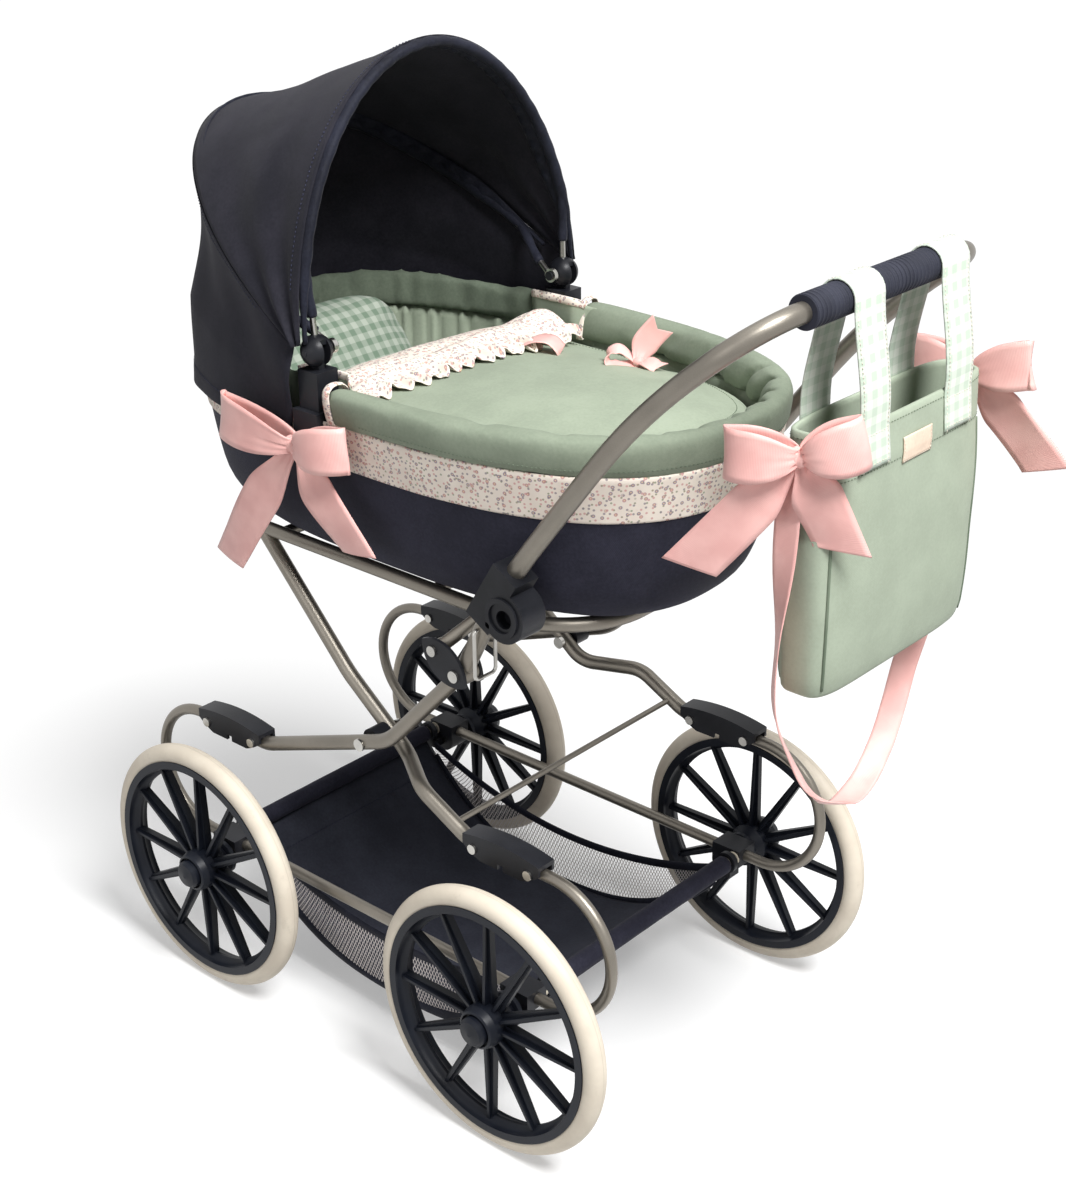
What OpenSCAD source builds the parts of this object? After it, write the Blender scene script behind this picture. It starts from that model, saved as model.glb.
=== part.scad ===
// Doll's pram: sprung chassis, folding handle, carrycot with hood, basket and bag.
// +X points to the handle end, -Y is the near side, +Z is up. The origin is on the
// ground, midway between the four wheels.

/* [Wheels] */
// Outer diameter of the tyres
wheel_d = 240; // [220:1:260]
// Distance between the axles along X
wheelbase = 356; // [340:1:380]
// Distance between the tyre planes across Y
track = 364; // [360:1:390]
// Diameter of the round tyre section
tyre_section = 20; // [17:0.5:22]
// Number of spokes in a wheel
spoke_count = 12; // [10:1:14]
// Diameter of the stub axles
axle_d = 7; // [6:0.5:8]

/* [Chassis] */
// Distance of the side tubes from the centre plane
side_y = 144; // [142:1:148]
// Distance of the cot rails from the centre plane
rail_y = 114; // [111:1:116]
// Diameter of the side rails
rail_d = 10; // [8:0.5:11]
// Diameter of the leg tubes
leg_d = 13; // [11:0.5:14]
// Height of the shackle clips
clip_z = 252; // [246:1:260]
// Height of the cot rails
cot_rail_z = 446; // [440:1:456]
// Diameter of the cot rails
cot_rail_d = 12; // [10:0.5:13]
// Diameter of the thin cross rod
cross_rod_d = 5; // [4:0.5:6]

/* [Handle] */
// Diameter of the handle tube
handle_d = 15; // [13:0.5:16]
// Distance of the grip from the knuckle along X
handle_reach = 265; // [250:1:290]
// Height of the grip over the knuckle
handle_rise = 330; // [300:1:350]
// Length of the foam grip
grip_len = 184; // [160:2:200]
// Diameter of the foam grip
grip_d = 25; // [22:0.5:28]

/* [Carrycot] */
// Greatest half width of the cot
cot_half_w = 156; // [152:1:160]
// Reach of the cot from its widest place to the handle end
cot_handle_reach = 250; // [240:1:256]
// Reach of the cot from its widest place to the hood end
cot_hood_reach = 288; // [280:1:296]
// Height of the cot wall over the cot rails
cot_wall_h = 131; // [124:1:140]
// Half thickness of the padded collar round the rim
roll_half_w = 11.5; // [9.5:0.5:12]
// Half height of the padded collar
roll_half_h = 16; // [14:0.5:18]

/* [Hood] */
// Half width of the hood cloth at the bows
hood_half_w = 163; // [162:0.5:166]
// Height of the front bow over its pivot
front_bow_h = 219; // [200:1:230]
// Length of the middle bow from its pivot
middle_bow_h = 281; // [270:1:290]
// Backward lean of the front bow in degrees
front_bow_lean = 4; // [0:1:8]
// Backward lean of the middle bow in degrees
middle_bow_lean = 60; // [56:1:63]
// Diameter of the bow wire
bow_wire_d = 5; // [4:0.5:5]

/* [Basket and bag] */
// Depth of the basket under its bars
basket_depth = 100; // [80:1:104]
// Half width of the basket cloth
basket_half_w = 119; // [110:1:120]
// Width of the bag
bag_w = 208; // [190:2:216]
// Height of the bag
bag_h = 200; // [180:1:215]
// Depth of the bag at its middle
bag_depth = 54; // [44:1:60]
// Width of the bag's strap loops
strap_w = 36; // [28:1:40]
// Width of the ribbons of the bows
ribbon_w = 36; // [28:1:40]

/* [Hidden] */

round_fn = 48;
pewter = "dimgray";
navy = "midnightblue";
black = "black";
sage = "darkseagreen";
pink = "lightpink";

// Wheels
wheel_r = wheel_d / 2;
tyre_r = tyre_section / 2;
tyre_centre_r = wheel_r - tyre_r;
rim_r = tyre_centre_r - 4;
rim_depth = 12;
rim_half_w = tyre_r + 0.5;
hub_r = 19;
hub_inner = 22;
hub_outer = 22;
cap_r = 13;
axle_clearance = 0.05;
wheel_places = [for (x = [-1, 1], y = [-1, 1]) [x * wheelbase / 2, y * track / 2]];

// Side rails and clips
rail_low_z = wheel_r + axle_d / 2 + 0.5 + rail_d / 2;
curl_r = (clip_z - rail_low_z) / 2;
curl_x = wheelbase / 2 + 34;
clip_outer_x = curl_x - 6;
clip_len = 82;
clip_inner_x = clip_outer_x - clip_len;
clip_w = 19;
clip_wall = 2.6;
rivet_d = 4;
rivet_head_d = 8.5;
rivet_head_h = 1.8;
rivet_inset = 11;
rail_end_x = clip_outer_x - 30;
leg_end_x = clip_inner_x + 34;
leg_start_x = clip_inner_x - 2;
rivet_xs = [clip_inner_x + rivet_inset, clip_outer_x - rivet_inset];

// Legs: both cross at the bolt, the rear leg in an inner plane
cross_x = 4;
front_slope = 0.375;
cross_z = clip_z + (leg_start_x + cross_x) * front_slope;
front_bend_x = 32;
front_bend_z = clip_z + (leg_start_x + front_bend_x) * front_slope;
knuckle_x = 121;
knuckle_z = cross_z + 105;
rear_slope = 0.78;
joggle_in_x = 24;
joggle_out_x = 70;
rear_knee_x = -44;
rear_top_x = -146;
front_dir = unit([knuckle_x - front_bend_x, 0, knuckle_z - front_bend_z]);
bolt_d = 6;

// Knuckle: T-shaped meeting of front leg, strut and handle
strut_pin = [knuckle_x - 23, knuckle_z + 15];
strut_d = 11;
pivot_d = 6;
eye_d = 20;
slot_half = handle_d / 2 + 0.45;
plate_t = 3;
leaf_len = 54;
leaf_w = 31;
leaf_turn = atan2(15, -23) - 180;

// Handle
handle_low = [knuckle_x, knuckle_z];
handle_knee = handle_low + [44, 87];
handle_mid = handle_low + [handle_reach * 0.638, handle_rise * 0.758];
handle_top = handle_low + [handle_reach, handle_rise];
handle_low_dir = unit(handle_knee - handle_low);
handle_corner_r = 46;
bail_at = handle_low + handle_low_dir * 52;
bail_d = 3;
bail_len = 42;
handle_bend_r = 560;
handle_bend_start = norm(handle_knee - handle_low)
    - setback(handle_low, handle_knee, handle_mid, handle_bend_r);
housing_turn = (90 - handle_bend_start) / handle_bend_r * 180 / PI;
housing_at = handle_low
    + handle_low_dir * (handle_bend_start + handle_bend_r * sin(housing_turn))
    + [handle_low_dir[1], -handle_low_dir[0]] * handle_bend_r * (1 - cos(housing_turn));

// Cot
cot_x = 30;
handle_power = 2.48;
hood_power = 3;
cot_floor_z = cot_rail_z + cot_rail_d / 2;
cot_top_z = cot_floor_z + cot_wall_h;
cot_wall_t = 10;
floor_t = 12;
cot_sides = 64;
roll_inset = 6.5;
end_roll_inset = 11;
mount_x = -26;
mount_half_gap = 22;
cot_profile = [[0, 46], [4, 38], [14, 28], [32, 18], [58, 12], [95, 6], [cot_wall_h, 0]];

// Hood
pivot_y = 147;
pivot_z = cot_top_z + 54;
pivot_pin_d = 5;
ball_r = 13;
cloth_t = 1.6;
front_bow_gap = 1;
middle_bow_gap = 2.6;
hem_z = cot_top_z - 17;
bow_steps = 36;
first_bow_angle = 2;

// Basket
bar_x = wheelbase / 2 + 12;
bar_z = rail_low_z;
bar_d = 12;
bar_half = side_y - rail_d / 2 - 7;
cloth_r = bar_d / 2 + 2.6;
net_t = 1.5;
net_step = 17;
net_hole = 11.5;

// Bag
grip_x = handle_top[0];
grip_z = handle_top[1];
bag_y = 22;
strap_ys = [-34, 76];
strap_gap = 0.4;
strap_t = 1.6;
strap_sewn = 30;
bag_top_z = grip_z - 88;
bag_wall = 3;

function unit(v) = v / norm(v);
function bend_angle(a, b, c) = acos(unit(b - a) * unit(c - b));
function setback(a, b, c, r) = r * tan(bend_angle(a, b, c) / 2);
function mix(a, b, t) = a + (b - a) * t;
function ease(t) = t * t * (3 - 2 * t);
function power(v, p) = sign(v) * pow(abs(v), p);

// A straight length of round bar
module run(a, b, d) {
    v = b - a;
    translate(a)
        rotate([0, acos(v[2] / norm(v)), atan2(v[1], v[0])])
            cylinder(d = d, h = norm(v), $fn = round_fn);
}

// A round bend from the line a-b into the line b-c
module elbow(a, b, c, r, d) {
    along = unit(b - a);
    normal = unit(cross(along, unit(c - b)));
    inward = cross(normal, along);
    at = b - along * setback(a, b, c, r) + inward * r;
    multmatrix([for (k = [0:2]) [-inward[k], along[k], normal[k], at[k]]])
        rotate_extrude(angle = bend_angle(a, b, c), $fn = 96)
            translate([r, 0])
                circle(d = d, $fn = round_fn);
}

// A bent bar through points, with one bend radius per inner point. Each straight length
// runs a little way into its bends, which are a hair thicker, so that the solids join.
module bent_bar(points, radii, d) {
    last = len(points) - 1;
    swell = 0.1;
    back = [for (i = [0:last]) i == 0 || i == last ? 0
        : setback(points[i - 1], points[i], points[i + 1], radii[i - 1]) - min(0.6, radii[i - 1] / 10)];
    for (i = [0:last - 1]) {
        v = unit(points[i + 1] - points[i]);
        run(points[i] + v * back[i], points[i + 1] - v * back[i + 1], d);
    }
    for (i = [1:last - 1])
        elbow(points[i - 1], points[i], points[i + 1], radii[i - 1], d + swell);
}

// A closed skin over rings of equal length, with both ends capped. The rings turn clockwise
// as seen from the last ring.
module loft(rings) {
    n = len(rings[0]);
    m = len(rings);
    ends = [centre_of(rings[0]), centre_of(rings[m - 1])];
    points = concat([for (r = rings) each r], ends);
    first_cap = [for (i = [0:n - 1]) [m * n, (i + 1) % n, i]];
    last_cap = [for (i = [0:n - 1]) [m * n + 1, (m - 1) * n + i, (m - 1) * n + (i + 1) % n]];
    sides = [for (j = [0:m - 2], i = [0:n - 1])
        let (a = j * n + i, b = j * n + (i + 1) % n)
        each [[a, b, a + n], [b, b + n, a + n]]];
    polyhedron(points, concat(first_cap, sides, last_cap));
}
function centre_of(ring) = [for (k = [0:2]) sum_of([for (p = ring) p[k]]) / len(ring)];
function sum_of(v, i = 0) = i < len(v) ? v[i] + sum_of(v, i + 1) : 0;

// Mirrors a near-side piece to the far side
module far_side() {
    mirror([0, 1, 0]) children();
}

// A cylinder along Y between two heights
module y_bar(x, z, y0, y1, d) {
    translate([x, y0, z])
        rotate([-90, 0, 0])
            cylinder(d = d, h = y1 - y0, $fn = round_fn);
}

// A flat X-Z outline extruded along Y between two heights
module y_plate(y0, y1) {
    translate([0, y1, 0])
        rotate([90, 0, 0])
            linear_extrude(y1 - y0)
                children();
}

// One moulded wheel about +Z, outer face up
module wheel_shape() {
    difference() {
        union() {
            rotate_extrude($fn = 120)
                difference() {
                    translate([rim_r - rim_depth, -rim_half_w])
                        square([rim_depth, 2 * rim_half_w]);
                    translate([tyre_centre_r, 0])
                        circle(r = tyre_r, $fn = round_fn);
                    for (side = [-1, 1])
                        translate([rim_r - rim_depth - 6, side * rim_half_w])
                            circle(r = 11, $fn = round_fn);
                }
            for (i = [0:spoke_count - 1])
                rotate(360 * i / spoke_count)
                    spoke();
            rotate_extrude($fn = 72)
                hub_outline();
        }
        translate([0, 0, -hub_inner - 1])
            cylinder(d = axle_d + 2 * axle_clearance, h = hub_inner + 19, $fn = round_fn);
    }
}
module spoke() {
    inner = hub_r - 4;
    outer = rim_r - rim_depth + 3;
    linear_extrude(5, center = true)
        polygon([[inner, -5], [outer, -3.2], [outer, 3.2], [inner, 5]]);
    translate([0, 1.4, 0])
        rotate([90, 0, 0])
            linear_extrude(2.8)
                polygon([[inner, -8], [outer, -5], [outer, 5], [inner, 8]]);
}
module hub_outline() {
    polygon([
        [0, -hub_inner], [hub_r - 3, -hub_inner], [hub_r - 3, -hub_inner + 4], [hub_r - 6, -hub_inner + 6],
        [hub_r, -9], [hub_r, 12], [hub_r - 2, hub_outer - 4], [hub_r - 4, hub_outer - 3],
        [hub_r - 4, hub_outer - 7], [cap_r, hub_outer - 7], [cap_r, hub_outer],
        [cap_r - 2.5, hub_outer + 3], [0, hub_outer + 4.5]
    ]);
}
module at_wheel(i) {
    place = wheel_places[i];
    translate([place[0], place[1], wheel_r])
        rotate([place[1] < 0 ? 90 : -90, 0, 0])
            children();
}
module wheel(i) {
    color(navy)
        at_wheel(i)
            wheel_shape();
}
module tyre(i) {
    color("ivory")
        at_wheel(i)
            rotate_extrude($fn = 120)
                translate([tyre_centre_r, 0])
                    circle(r = tyre_r, $fn = round_fn);
}

// Axle bracket: a block round the rail, a boss for the axle and an eye for the basket bar
module axle_bracket() {
    inner = -side_y + 11;
    outer = -side_y - 13;
    eye = -basket_half_w - net_t - 6;
    color(black)
        difference() {
            union() {
                y_plate(outer, inner) {
                    translate([wheelbase / 2, wheel_r])
                        circle(r = 12, $fn = round_fn);
                    translate([wheelbase / 2 - 12, wheel_r])
                        square([30, rail_low_z - wheel_r + rail_d / 2 + 3]);
                }
                y_plate(inner - 2, eye + 5)
                    translate([wheelbase / 2 + 1, bar_z - bar_d / 2 - 9])
                        square([16, 8]);
                y_plate(eye, eye + 5)
                    translate([bar_x, bar_z])
                        circle(d = bar_d + 8, $fn = round_fn);
            }
            run([0, -side_y, rail_low_z], [curl_x + 20, -side_y, rail_low_z], rail_d);
            y_bar(wheelbase / 2, wheel_r, outer - 1, inner + 1, axle_d);
            y_bar(bar_x, bar_z, -bar_half - 0.5, eye + 6, bar_d);
        }
}
module stub_axles() {
    color("silver")
        for (x = [0, 1], y = [0, 1])
            mirror([x, 0, 0])
                mirror([0, y, 0]) {
                    y_bar(wheelbase / 2, wheel_r, -track / 2 - 17, -side_y + 11, axle_d);
                    y_bar(wheelbase / 2, wheel_r, -track / 2 + hub_inner + 0.3, -side_y - 13, axle_d + 7);
                }
}

// One bent rail, curled up and over at both ends
module side_rail() {
    color(pewter)
        for (end = [0, 1])
            mirror([end, 0, 0]) {
                run([0, -side_y, rail_low_z], [curl_x, -side_y, rail_low_z], rail_d);
                difference() {
                    union() {
                        translate([curl_x, -side_y, rail_low_z + curl_r])
                            rotate([90, 0, 0])
                                rotate([0, 0, -90])
                                    rotate_extrude(angle = 180, $fn = 96)
                                        translate([curl_r, 0])
                                            circle(d = rail_d, $fn = round_fn);
                        run([curl_x, -side_y, clip_z], [rail_end_x, -side_y, clip_z], rail_d);
                    }
                    rivet_hole(rivet_xs[1]);
                }
            }
}
module rivet_hole(x) {
    y_bar(x, clip_z, -side_y - clip_w, -side_y + clip_w, rivet_d);
}

// Shackle clip: an arched channel over the ends of the rail and the leg
module clip() {
    mid_x = (clip_inner_x + clip_outer_x) / 2;
    crown_r = 190;
    low_z = clip_z - 8.5;
    top_z = clip_z + 15;
    color(black)
        difference() {
            y_plate(-side_y - clip_w / 2, -side_y + clip_w / 2)
                intersection() {
                    translate([clip_inner_x, low_z])
                        square([clip_len, 40]);
                    translate([mid_x, top_z - crown_r])
                        circle(r = crown_r, $fn = 240);
                    translate([mid_x, low_z + 62])
                        circle(r = 66, $fn = 120);
                }
            y_plate(-side_y - clip_w / 2 + clip_wall, -side_y + clip_w / 2 - clip_wall)
                translate([clip_inner_x - 1, low_z - 1])
                    square([clip_len + 2, 9.5 + leg_d / 2 + 0.2]);
            for (x = rivet_xs)
                rivet_hole(x);
            y_plate(-side_y - clip_w, -side_y + clip_w)
                translate([mid_x - 3, low_z - 1])
                    square([6, 6]);
        }
}
module clip_rivets() {
    half = clip_w / 2;
    color("silver")
        for (sx = [0, 1], sy = [0, 1], x = rivet_xs)
            mirror([sx, 0, 0])
                mirror([0, sy, 0]) {
                    y_bar(x, clip_z, -side_y - half - rivet_head_h, -side_y + half + rivet_head_h, rivet_d);
                    y_bar(x, clip_z, -side_y - half - rivet_head_h, -side_y - half, rivet_head_d);
                    y_bar(x, clip_z, -side_y + half, -side_y + half + rivet_head_h, rivet_head_d);
                }
}

// Front leg: clip, crossing, knuckle
module front_leg() {
    top = [knuckle_x, -side_y, knuckle_z] - front_dir * (eye_d / 2 + 1.2);
    color(pewter)
        difference() {
            bent_bar([
                [-leg_end_x, -side_y, clip_z], [-leg_start_x, -side_y, clip_z],
                [front_bend_x, -side_y, front_bend_z], top
            ], [40, 60], leg_d);
            mirror([1, 0, 0])
                rivet_hole(rivet_xs[0]);
            y_bar(cross_x, cross_z, -side_y - leg_d, -side_y + leg_d, bolt_d);
        }
}

// Rear leg: clip, inward joggle, crossing, knee, cot rail
module rear_leg() {
    in_z = cross_z - (joggle_in_x - cross_x) * rear_slope;
    out_z = in_z - 5;
    knee_z = cross_z + (cross_x - rear_knee_x) * rear_slope;
    color(pewter)
        difference() {
            bent_bar([
                [leg_end_x, -side_y, clip_z], [leg_start_x, -side_y, clip_z],
                [joggle_out_x, -side_y, out_z], [joggle_in_x, -rail_y, in_z],
                [rear_knee_x, -rail_y, knee_z], [rear_top_x, -rail_y, cot_rail_z]
            ], [40, 30, 30, 90], leg_d);
            run([-400, -rail_y, cot_rail_z], [0, -rail_y, cot_rail_z], cot_rail_d);
            rivet_hole(rivet_xs[0]);
            y_bar(cross_x, cross_z, -rail_y - leg_d, -rail_y + leg_d, bolt_d);
            cross_rod_bar(-side_y);
        }
}
module crossing_bolts() {
    outer = -side_y - leg_d / 2;
    inner = -rail_y + leg_d / 2;
    color("silver")
        for (sy = [0, 1])
            mirror([0, sy, 0]) {
                y_bar(cross_x, cross_z, outer - 2, inner + 4, bolt_d);
                y_bar(cross_x, cross_z, outer - 2, outer, bolt_d + 5);
                y_bar(cross_x, cross_z, inner, inner + 4, bolt_d + 5);
            }
}
module crossing_spacers() {
    color(black)
        for (sy = [0, 1])
            mirror([0, sy, 0])
                difference() {
                    y_bar(cross_x, cross_z, -side_y + leg_d / 2, -rail_y - leg_d / 2, 18);
                    y_bar(cross_x, cross_z, -side_y, -rail_y, bolt_d);
                }
}
module cross_rod_bar(y) {
    x = (leg_start_x + joggle_out_x) / 2 + 10;
    out_z = cross_z - (joggle_in_x - cross_x) * rear_slope - 5;
    z = mix(clip_z, out_z, (leg_start_x - x) / (leg_start_x - joggle_out_x));
    y_bar(x, z, y, -y, cross_rod_d);
}
module cross_rod() {
    color("gray")
        cross_rod_bar(-side_y);
}

// Cot frame: a U-shaped rail, two cross-bars and the struts that stand on the knuckles
module cot_frame() {
    end_x = cot_x + cot_handle_reach - 70;
    color(pewter) {
        bent_bar([
            [rear_top_x - 10, -rail_y, cot_rail_z], [end_x, -rail_y, cot_rail_z],
            [end_x, rail_y, cot_rail_z], [rear_top_x - 10, rail_y, cot_rail_z]
        ], [80, 80], cot_rail_d);
        for (x = [rear_top_x + 26, 60])
            y_bar(x, cot_rail_z, -rail_y, rail_y, cot_rail_d - 2);
        for (sy = [0, 1])
            mirror([0, sy, 0])
                difference() {
                    union() {
                        run([strut_pin[0], -side_y - slot_half + strut_d / 2, strut_pin[1]],
                            [strut_pin[0] + 22, -rail_y, cot_rail_z], strut_d);
                        y_bar(strut_pin[0], strut_pin[1], -side_y - slot_half, -side_y + 2, strut_d + 3);
                    }
                    y_bar(strut_pin[0], strut_pin[1], -side_y - 20, -side_y + 0.5, pivot_d - 1);
                }
    }
}

// Knuckle bracket: an outer leaf, a shorter inner leaf and the socket of the front leg
module leaf() {
    mid = ([knuckle_x, knuckle_z] + strut_pin) / 2;
    arc_r = (leaf_len * leaf_len / 4 + leaf_w * leaf_w / 4) / leaf_w;
    translate(mid)
        rotate(leaf_turn)
            intersection() {
                translate([0, arc_r - leaf_w / 2])
                    circle(r = arc_r, $fn = 96);
                translate([0, leaf_w / 2 - arc_r])
                    circle(r = arc_r, $fn = 96);
            }
}
module knuckle() {
    outer = -side_y - slot_half - plate_t;
    inner = -side_y + slot_half + plate_t;
    mid = ([knuckle_x, knuckle_z] + strut_pin) / 2;
    socket_start = eye_d / 2 + 1;
    color(black)
        difference() {
            union() {
                y_plate(outer, outer + plate_t)
                    leaf();
                y_plate(inner - plate_t, inner)
                    intersection() {
                        leaf();
                        translate(mid)
                            rotate(leaf_turn)
                                translate([-1, -40])
                                    square([60, 80]);
                    }
                y_plate(outer, inner)
                    intersection() {
                        leaf();
                        translate([knuckle_x, knuckle_z])
                            rotate(atan2(front_dir[2], front_dir[0]))
                                translate([-60 - socket_start, -9.5])
                                    square([60, 19]);
                    }
            }
            run([knuckle_x, -side_y, knuckle_z] - front_dir * 60, [knuckle_x, -side_y, knuckle_z], leg_d);
            y_bar(knuckle_x, knuckle_z, outer - 1, inner + 1, pivot_d);
            y_bar(strut_pin[0], strut_pin[1], outer - 1, inner + 1, pivot_d - 1);
        }
}
module knuckle_pins() {
    outer = -side_y - slot_half - plate_t;
    inner = -side_y + slot_half + plate_t;
    color("silver")
        for (sy = [0, 1])
            mirror([0, sy, 0]) {
                y_bar(knuckle_x, knuckle_z, outer - 2, inner + 2, pivot_d);
                y_bar(knuckle_x, knuckle_z, outer - 2, outer, pivot_d + 4);
                y_bar(knuckle_x, knuckle_z, inner, inner + 2, pivot_d + 4);
                y_bar(strut_pin[0], strut_pin[1], outer - 2, -side_y, pivot_d - 1);
                y_bar(strut_pin[0], strut_pin[1], outer - 2, outer, pivot_d + 3);
            }
}

// Handle: one U-shaped tube, with an eye at each lower end
function on_side(p, y) = [p[0], y, p[1]];
module handle_tube() {
    near = [handle_low, handle_knee, handle_mid, handle_top];
    points = concat([for (p = near) on_side(p, -side_y)], [for (i = [3:-1:0]) on_side(near[i], side_y)]);
    color(pewter)
        difference() {
            union() {
                bent_bar(points, [
                    handle_bend_r, handle_bend_r, handle_corner_r,
                    handle_corner_r, handle_bend_r, handle_bend_r
                ], handle_d);
                for (y = [-side_y, side_y])
                    y_bar(knuckle_x, knuckle_z, y - handle_d / 2, y + handle_d / 2, eye_d);
            }
            y_bar(knuckle_x, knuckle_z, -side_y - 20, side_y + 20, pivot_d + 2 * axle_clearance);
            y_bar(bail_at[0], bail_at[1], -side_y - 20, side_y + 20, bail_d + 2 * axle_clearance);
        }
}
module grip() {
    rings = 40;
    pitch = grip_len / rings;
    r = grip_d / 2;
    ridge = [for (i = [0:rings - 1], k = [[0, 0.7], [0.25, 0], [0.75, 0], [1, 0.7]])
        if (k[0] < 1 || i == rings - 1) [r - k[1], (i + k[0]) * pitch]];
    color(navy)
        translate([grip_x, -grip_len / 2, grip_z])
            rotate([-90, 0, 0])
                rotate_extrude($fn = 72)
                    polygon(concat([[handle_d / 2, 0]], ridge, [[handle_d / 2, grip_len]]));
}

// Hinge housing: a sleeve round the bent tube with a round lobe and its recess
module hinge_housing() {
    bore = [for (p = [handle_low, handle_knee, handle_mid]) on_side(p, -side_y)];
    color(black)
        difference() {
            housing_block();
            bent_bar(bore, [handle_bend_r], handle_d + 0.1);
        }
}
module housing_block() {
    half = handle_d / 2 + 5.5;
    lean = atan2(handle_low_dir[1], handle_low_dir[0]) - housing_turn;
    translate([housing_at[0], -side_y, housing_at[1]])
        rotate([0, -lean, 0])
            difference() {
                union() {
                    y_plate(-half, half) {
                        translate([-28, -half])
                            square([56, 2 * half]);
                        translate([-4, -16])
                            circle(r = 21, $fn = 72);
                    }
                    y_plate(-half - 2, half)
                        translate([-4, -16])
                            difference() {
                                circle(r = 16, $fn = 72);
                                circle(r = 12, $fn = 72);
                            }
                }
                y_bar(-4, -18, -half - 3, -half + 9, 15);
                y_bar(-20, -9, -half - 3, -half + 3, 6);
            }
}

// Wire bail: a hanging loop whose ends turn into the tube
module bail() {
    leg = handle_d / 2 + bail_d / 2 + 2.7;
    reach = 4;
    x = bail_at[0];
    top = bail_at[1];
    low = top - bail_len;
    color("silver")
        bent_bar([
            [x, -side_y - reach, top], [x, -side_y - leg, top], [x, -side_y - leg, low],
            [x, -side_y + leg, low], [x, -side_y + leg, top], [x, -side_y + reach, top]
        ], [3.4, 4, 4, 3.4], bail_d);
}

// Basket: a cloth sling over two bars, closed at the sides by nets
function sling_z(x) = bar_z - cloth_r - (basket_depth - cloth_r) * (1 - pow(abs(x) / bar_x, 2.6));
function net_top(x) = bar_z - 4 - 42 * (1 - pow(x / bar_x, 2));
sling_steps = 24;
sling_t = 2;
sling_end = bar_x - 1;
module basket_bars() {
    color("gainsboro")
        for (x = [-bar_x, bar_x])
            y_bar(x, bar_z, -bar_half, bar_half, bar_d);
}
module basket_cloth() {
    xs = [for (i = [0:sling_steps]) mix(-sling_end, sling_end, i / sling_steps)];
    color(navy)
        y_plate(-basket_half_w, basket_half_w)
            difference() {
                union() {
                    polygon(concat(
                        [for (x = xs) [x, sling_z(x)]],
                        [for (i = [sling_steps:-1:0]) [xs[i], sling_z(xs[i]) + sling_t]]));
                    for (x = [-bar_x, bar_x])
                        translate([x, bar_z])
                            circle(r = cloth_r, $fn = round_fn);
                }
                for (x = [-bar_x, bar_x])
                    translate([x, bar_z])
                        circle(d = bar_d, $fn = round_fn);
            }
}
module basket_mesh() {
    end = bar_x - cloth_r - 3;
    border = 4;
    xs = [for (i = [0:sling_steps]) mix(-end, end, i / sling_steps)];
    rows = ceil(basket_depth / net_step * 2) + 2;
    columns = ceil(end / net_step);
    color("whitesmoke")
        y_plate(-basket_half_w - net_t, -basket_half_w)
            difference() {
                polygon(concat(
                    [for (x = xs) [x, sling_z(x)]],
                    [for (i = [sling_steps:-1:0]) [xs[i], net_top(xs[i])]]));
                for (row = [0:rows], column = [-columns:columns]) {
                    x = (column + (row % 2) / 2) * net_step;
                    z = bar_z - basket_depth + row * net_step / 2;
                    if (in_net(x, z, net_hole / sqrt(2) + border, end))
                        translate([x, z])
                            rotate(45)
                                square(net_hole * 0.9, center = true);
                }
            }
}
function in_net(x, z, room, end) =
    abs(x) < end - room
    && z > max(sling_z(x - room), sling_z(x), sling_z(x + room)) + room
    && z < min(net_top(x - room), net_top(x), net_top(x + room)) - room;

// Plan of the cot: two half ovals that meet at its widest place
function plan(a, inset) =
    let (
        c = cos(a),
        s = sin(a),
        p = 2 / (c >= 0 ? handle_power : hood_power),
        reach = (c >= 0 ? cot_handle_reach : cot_hood_reach) - inset
    )
    [cot_x + reach * power(c, p), (cot_half_w - inset) * power(s, p)];
function cot_ring(z, inset) = [for (i = [0:cot_sides - 1])
    let (p = plan(-360 * i / cot_sides, inset)) [p[0], p[1], z]];
function plan_half_width(x, inset) =
    let (
        p = x >= cot_x ? handle_power : hood_power,
        reach = (x >= cot_x ? cot_handle_reach : cot_hood_reach) - inset
    )
    (cot_half_w - inset) * pow(max(0, 1 - pow(abs(x - cot_x) / reach, p)), 1 / p);
function hood_side_angle(x) = acos(pow((cot_x - x) / cot_hood_reach, hood_power / 2));

module cot_body() {
    outside = [for (p = cot_profile) cot_ring(cot_floor_z + p[0], p[1])];
    inside = [for (i = [len(cot_profile) - 1:-1:2])
        let (p = cot_profile[i]) cot_ring(cot_floor_z + max(p[0], floor_t + 2), p[1] + cot_wall_t)];
    floor_ring = [cot_ring(cot_floor_z + floor_t, cot_profile[2][1] + cot_wall_t + 6)];
    color(navy)
        loft(concat(outside, inside, floor_ring));
}

// Padded collar round part of the rim, from one plan angle to another. Its section leans
// out, with a rounded top, as shares of the half thickness and of the height.
roll_steps = 40;
roll_section = [
    [1, 0.62], [0.96, 0.84], [0.65, 0.97], [0.22, 1], [-0.26, 0.95], [-0.57, 0.81],
    [-0.74, 0.59], [-0.91, 0.31], [-1, 0], [-0.3, 0], [0.57, 0], [0.87, 0.28]
];
module roll(from, to, middle, half_w) {
    loft([for (i = [0:roll_steps])
        let (a = mix(from, to, i / roll_steps))
        [for (k = roll_section)
            let (p = plan(a, middle - half_w * k[0]))
            [p[0], p[1], cot_top_z + 0.2 + 2 * roll_half_h * k[1]]]]);
}
module rim_roll() {
    start = 180 - hood_side_angle(mount_x + mount_half_gap);
    color(sage)
        roll(-start, start, roll_inset, roll_half_w);
}
module hood_end_roll() {
    start = 180 - hood_side_angle(mount_x - mount_half_gap);
    color(sage)
        roll(start, 360 - start, end_roll_inset, roll_half_w - 5);
}

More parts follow.
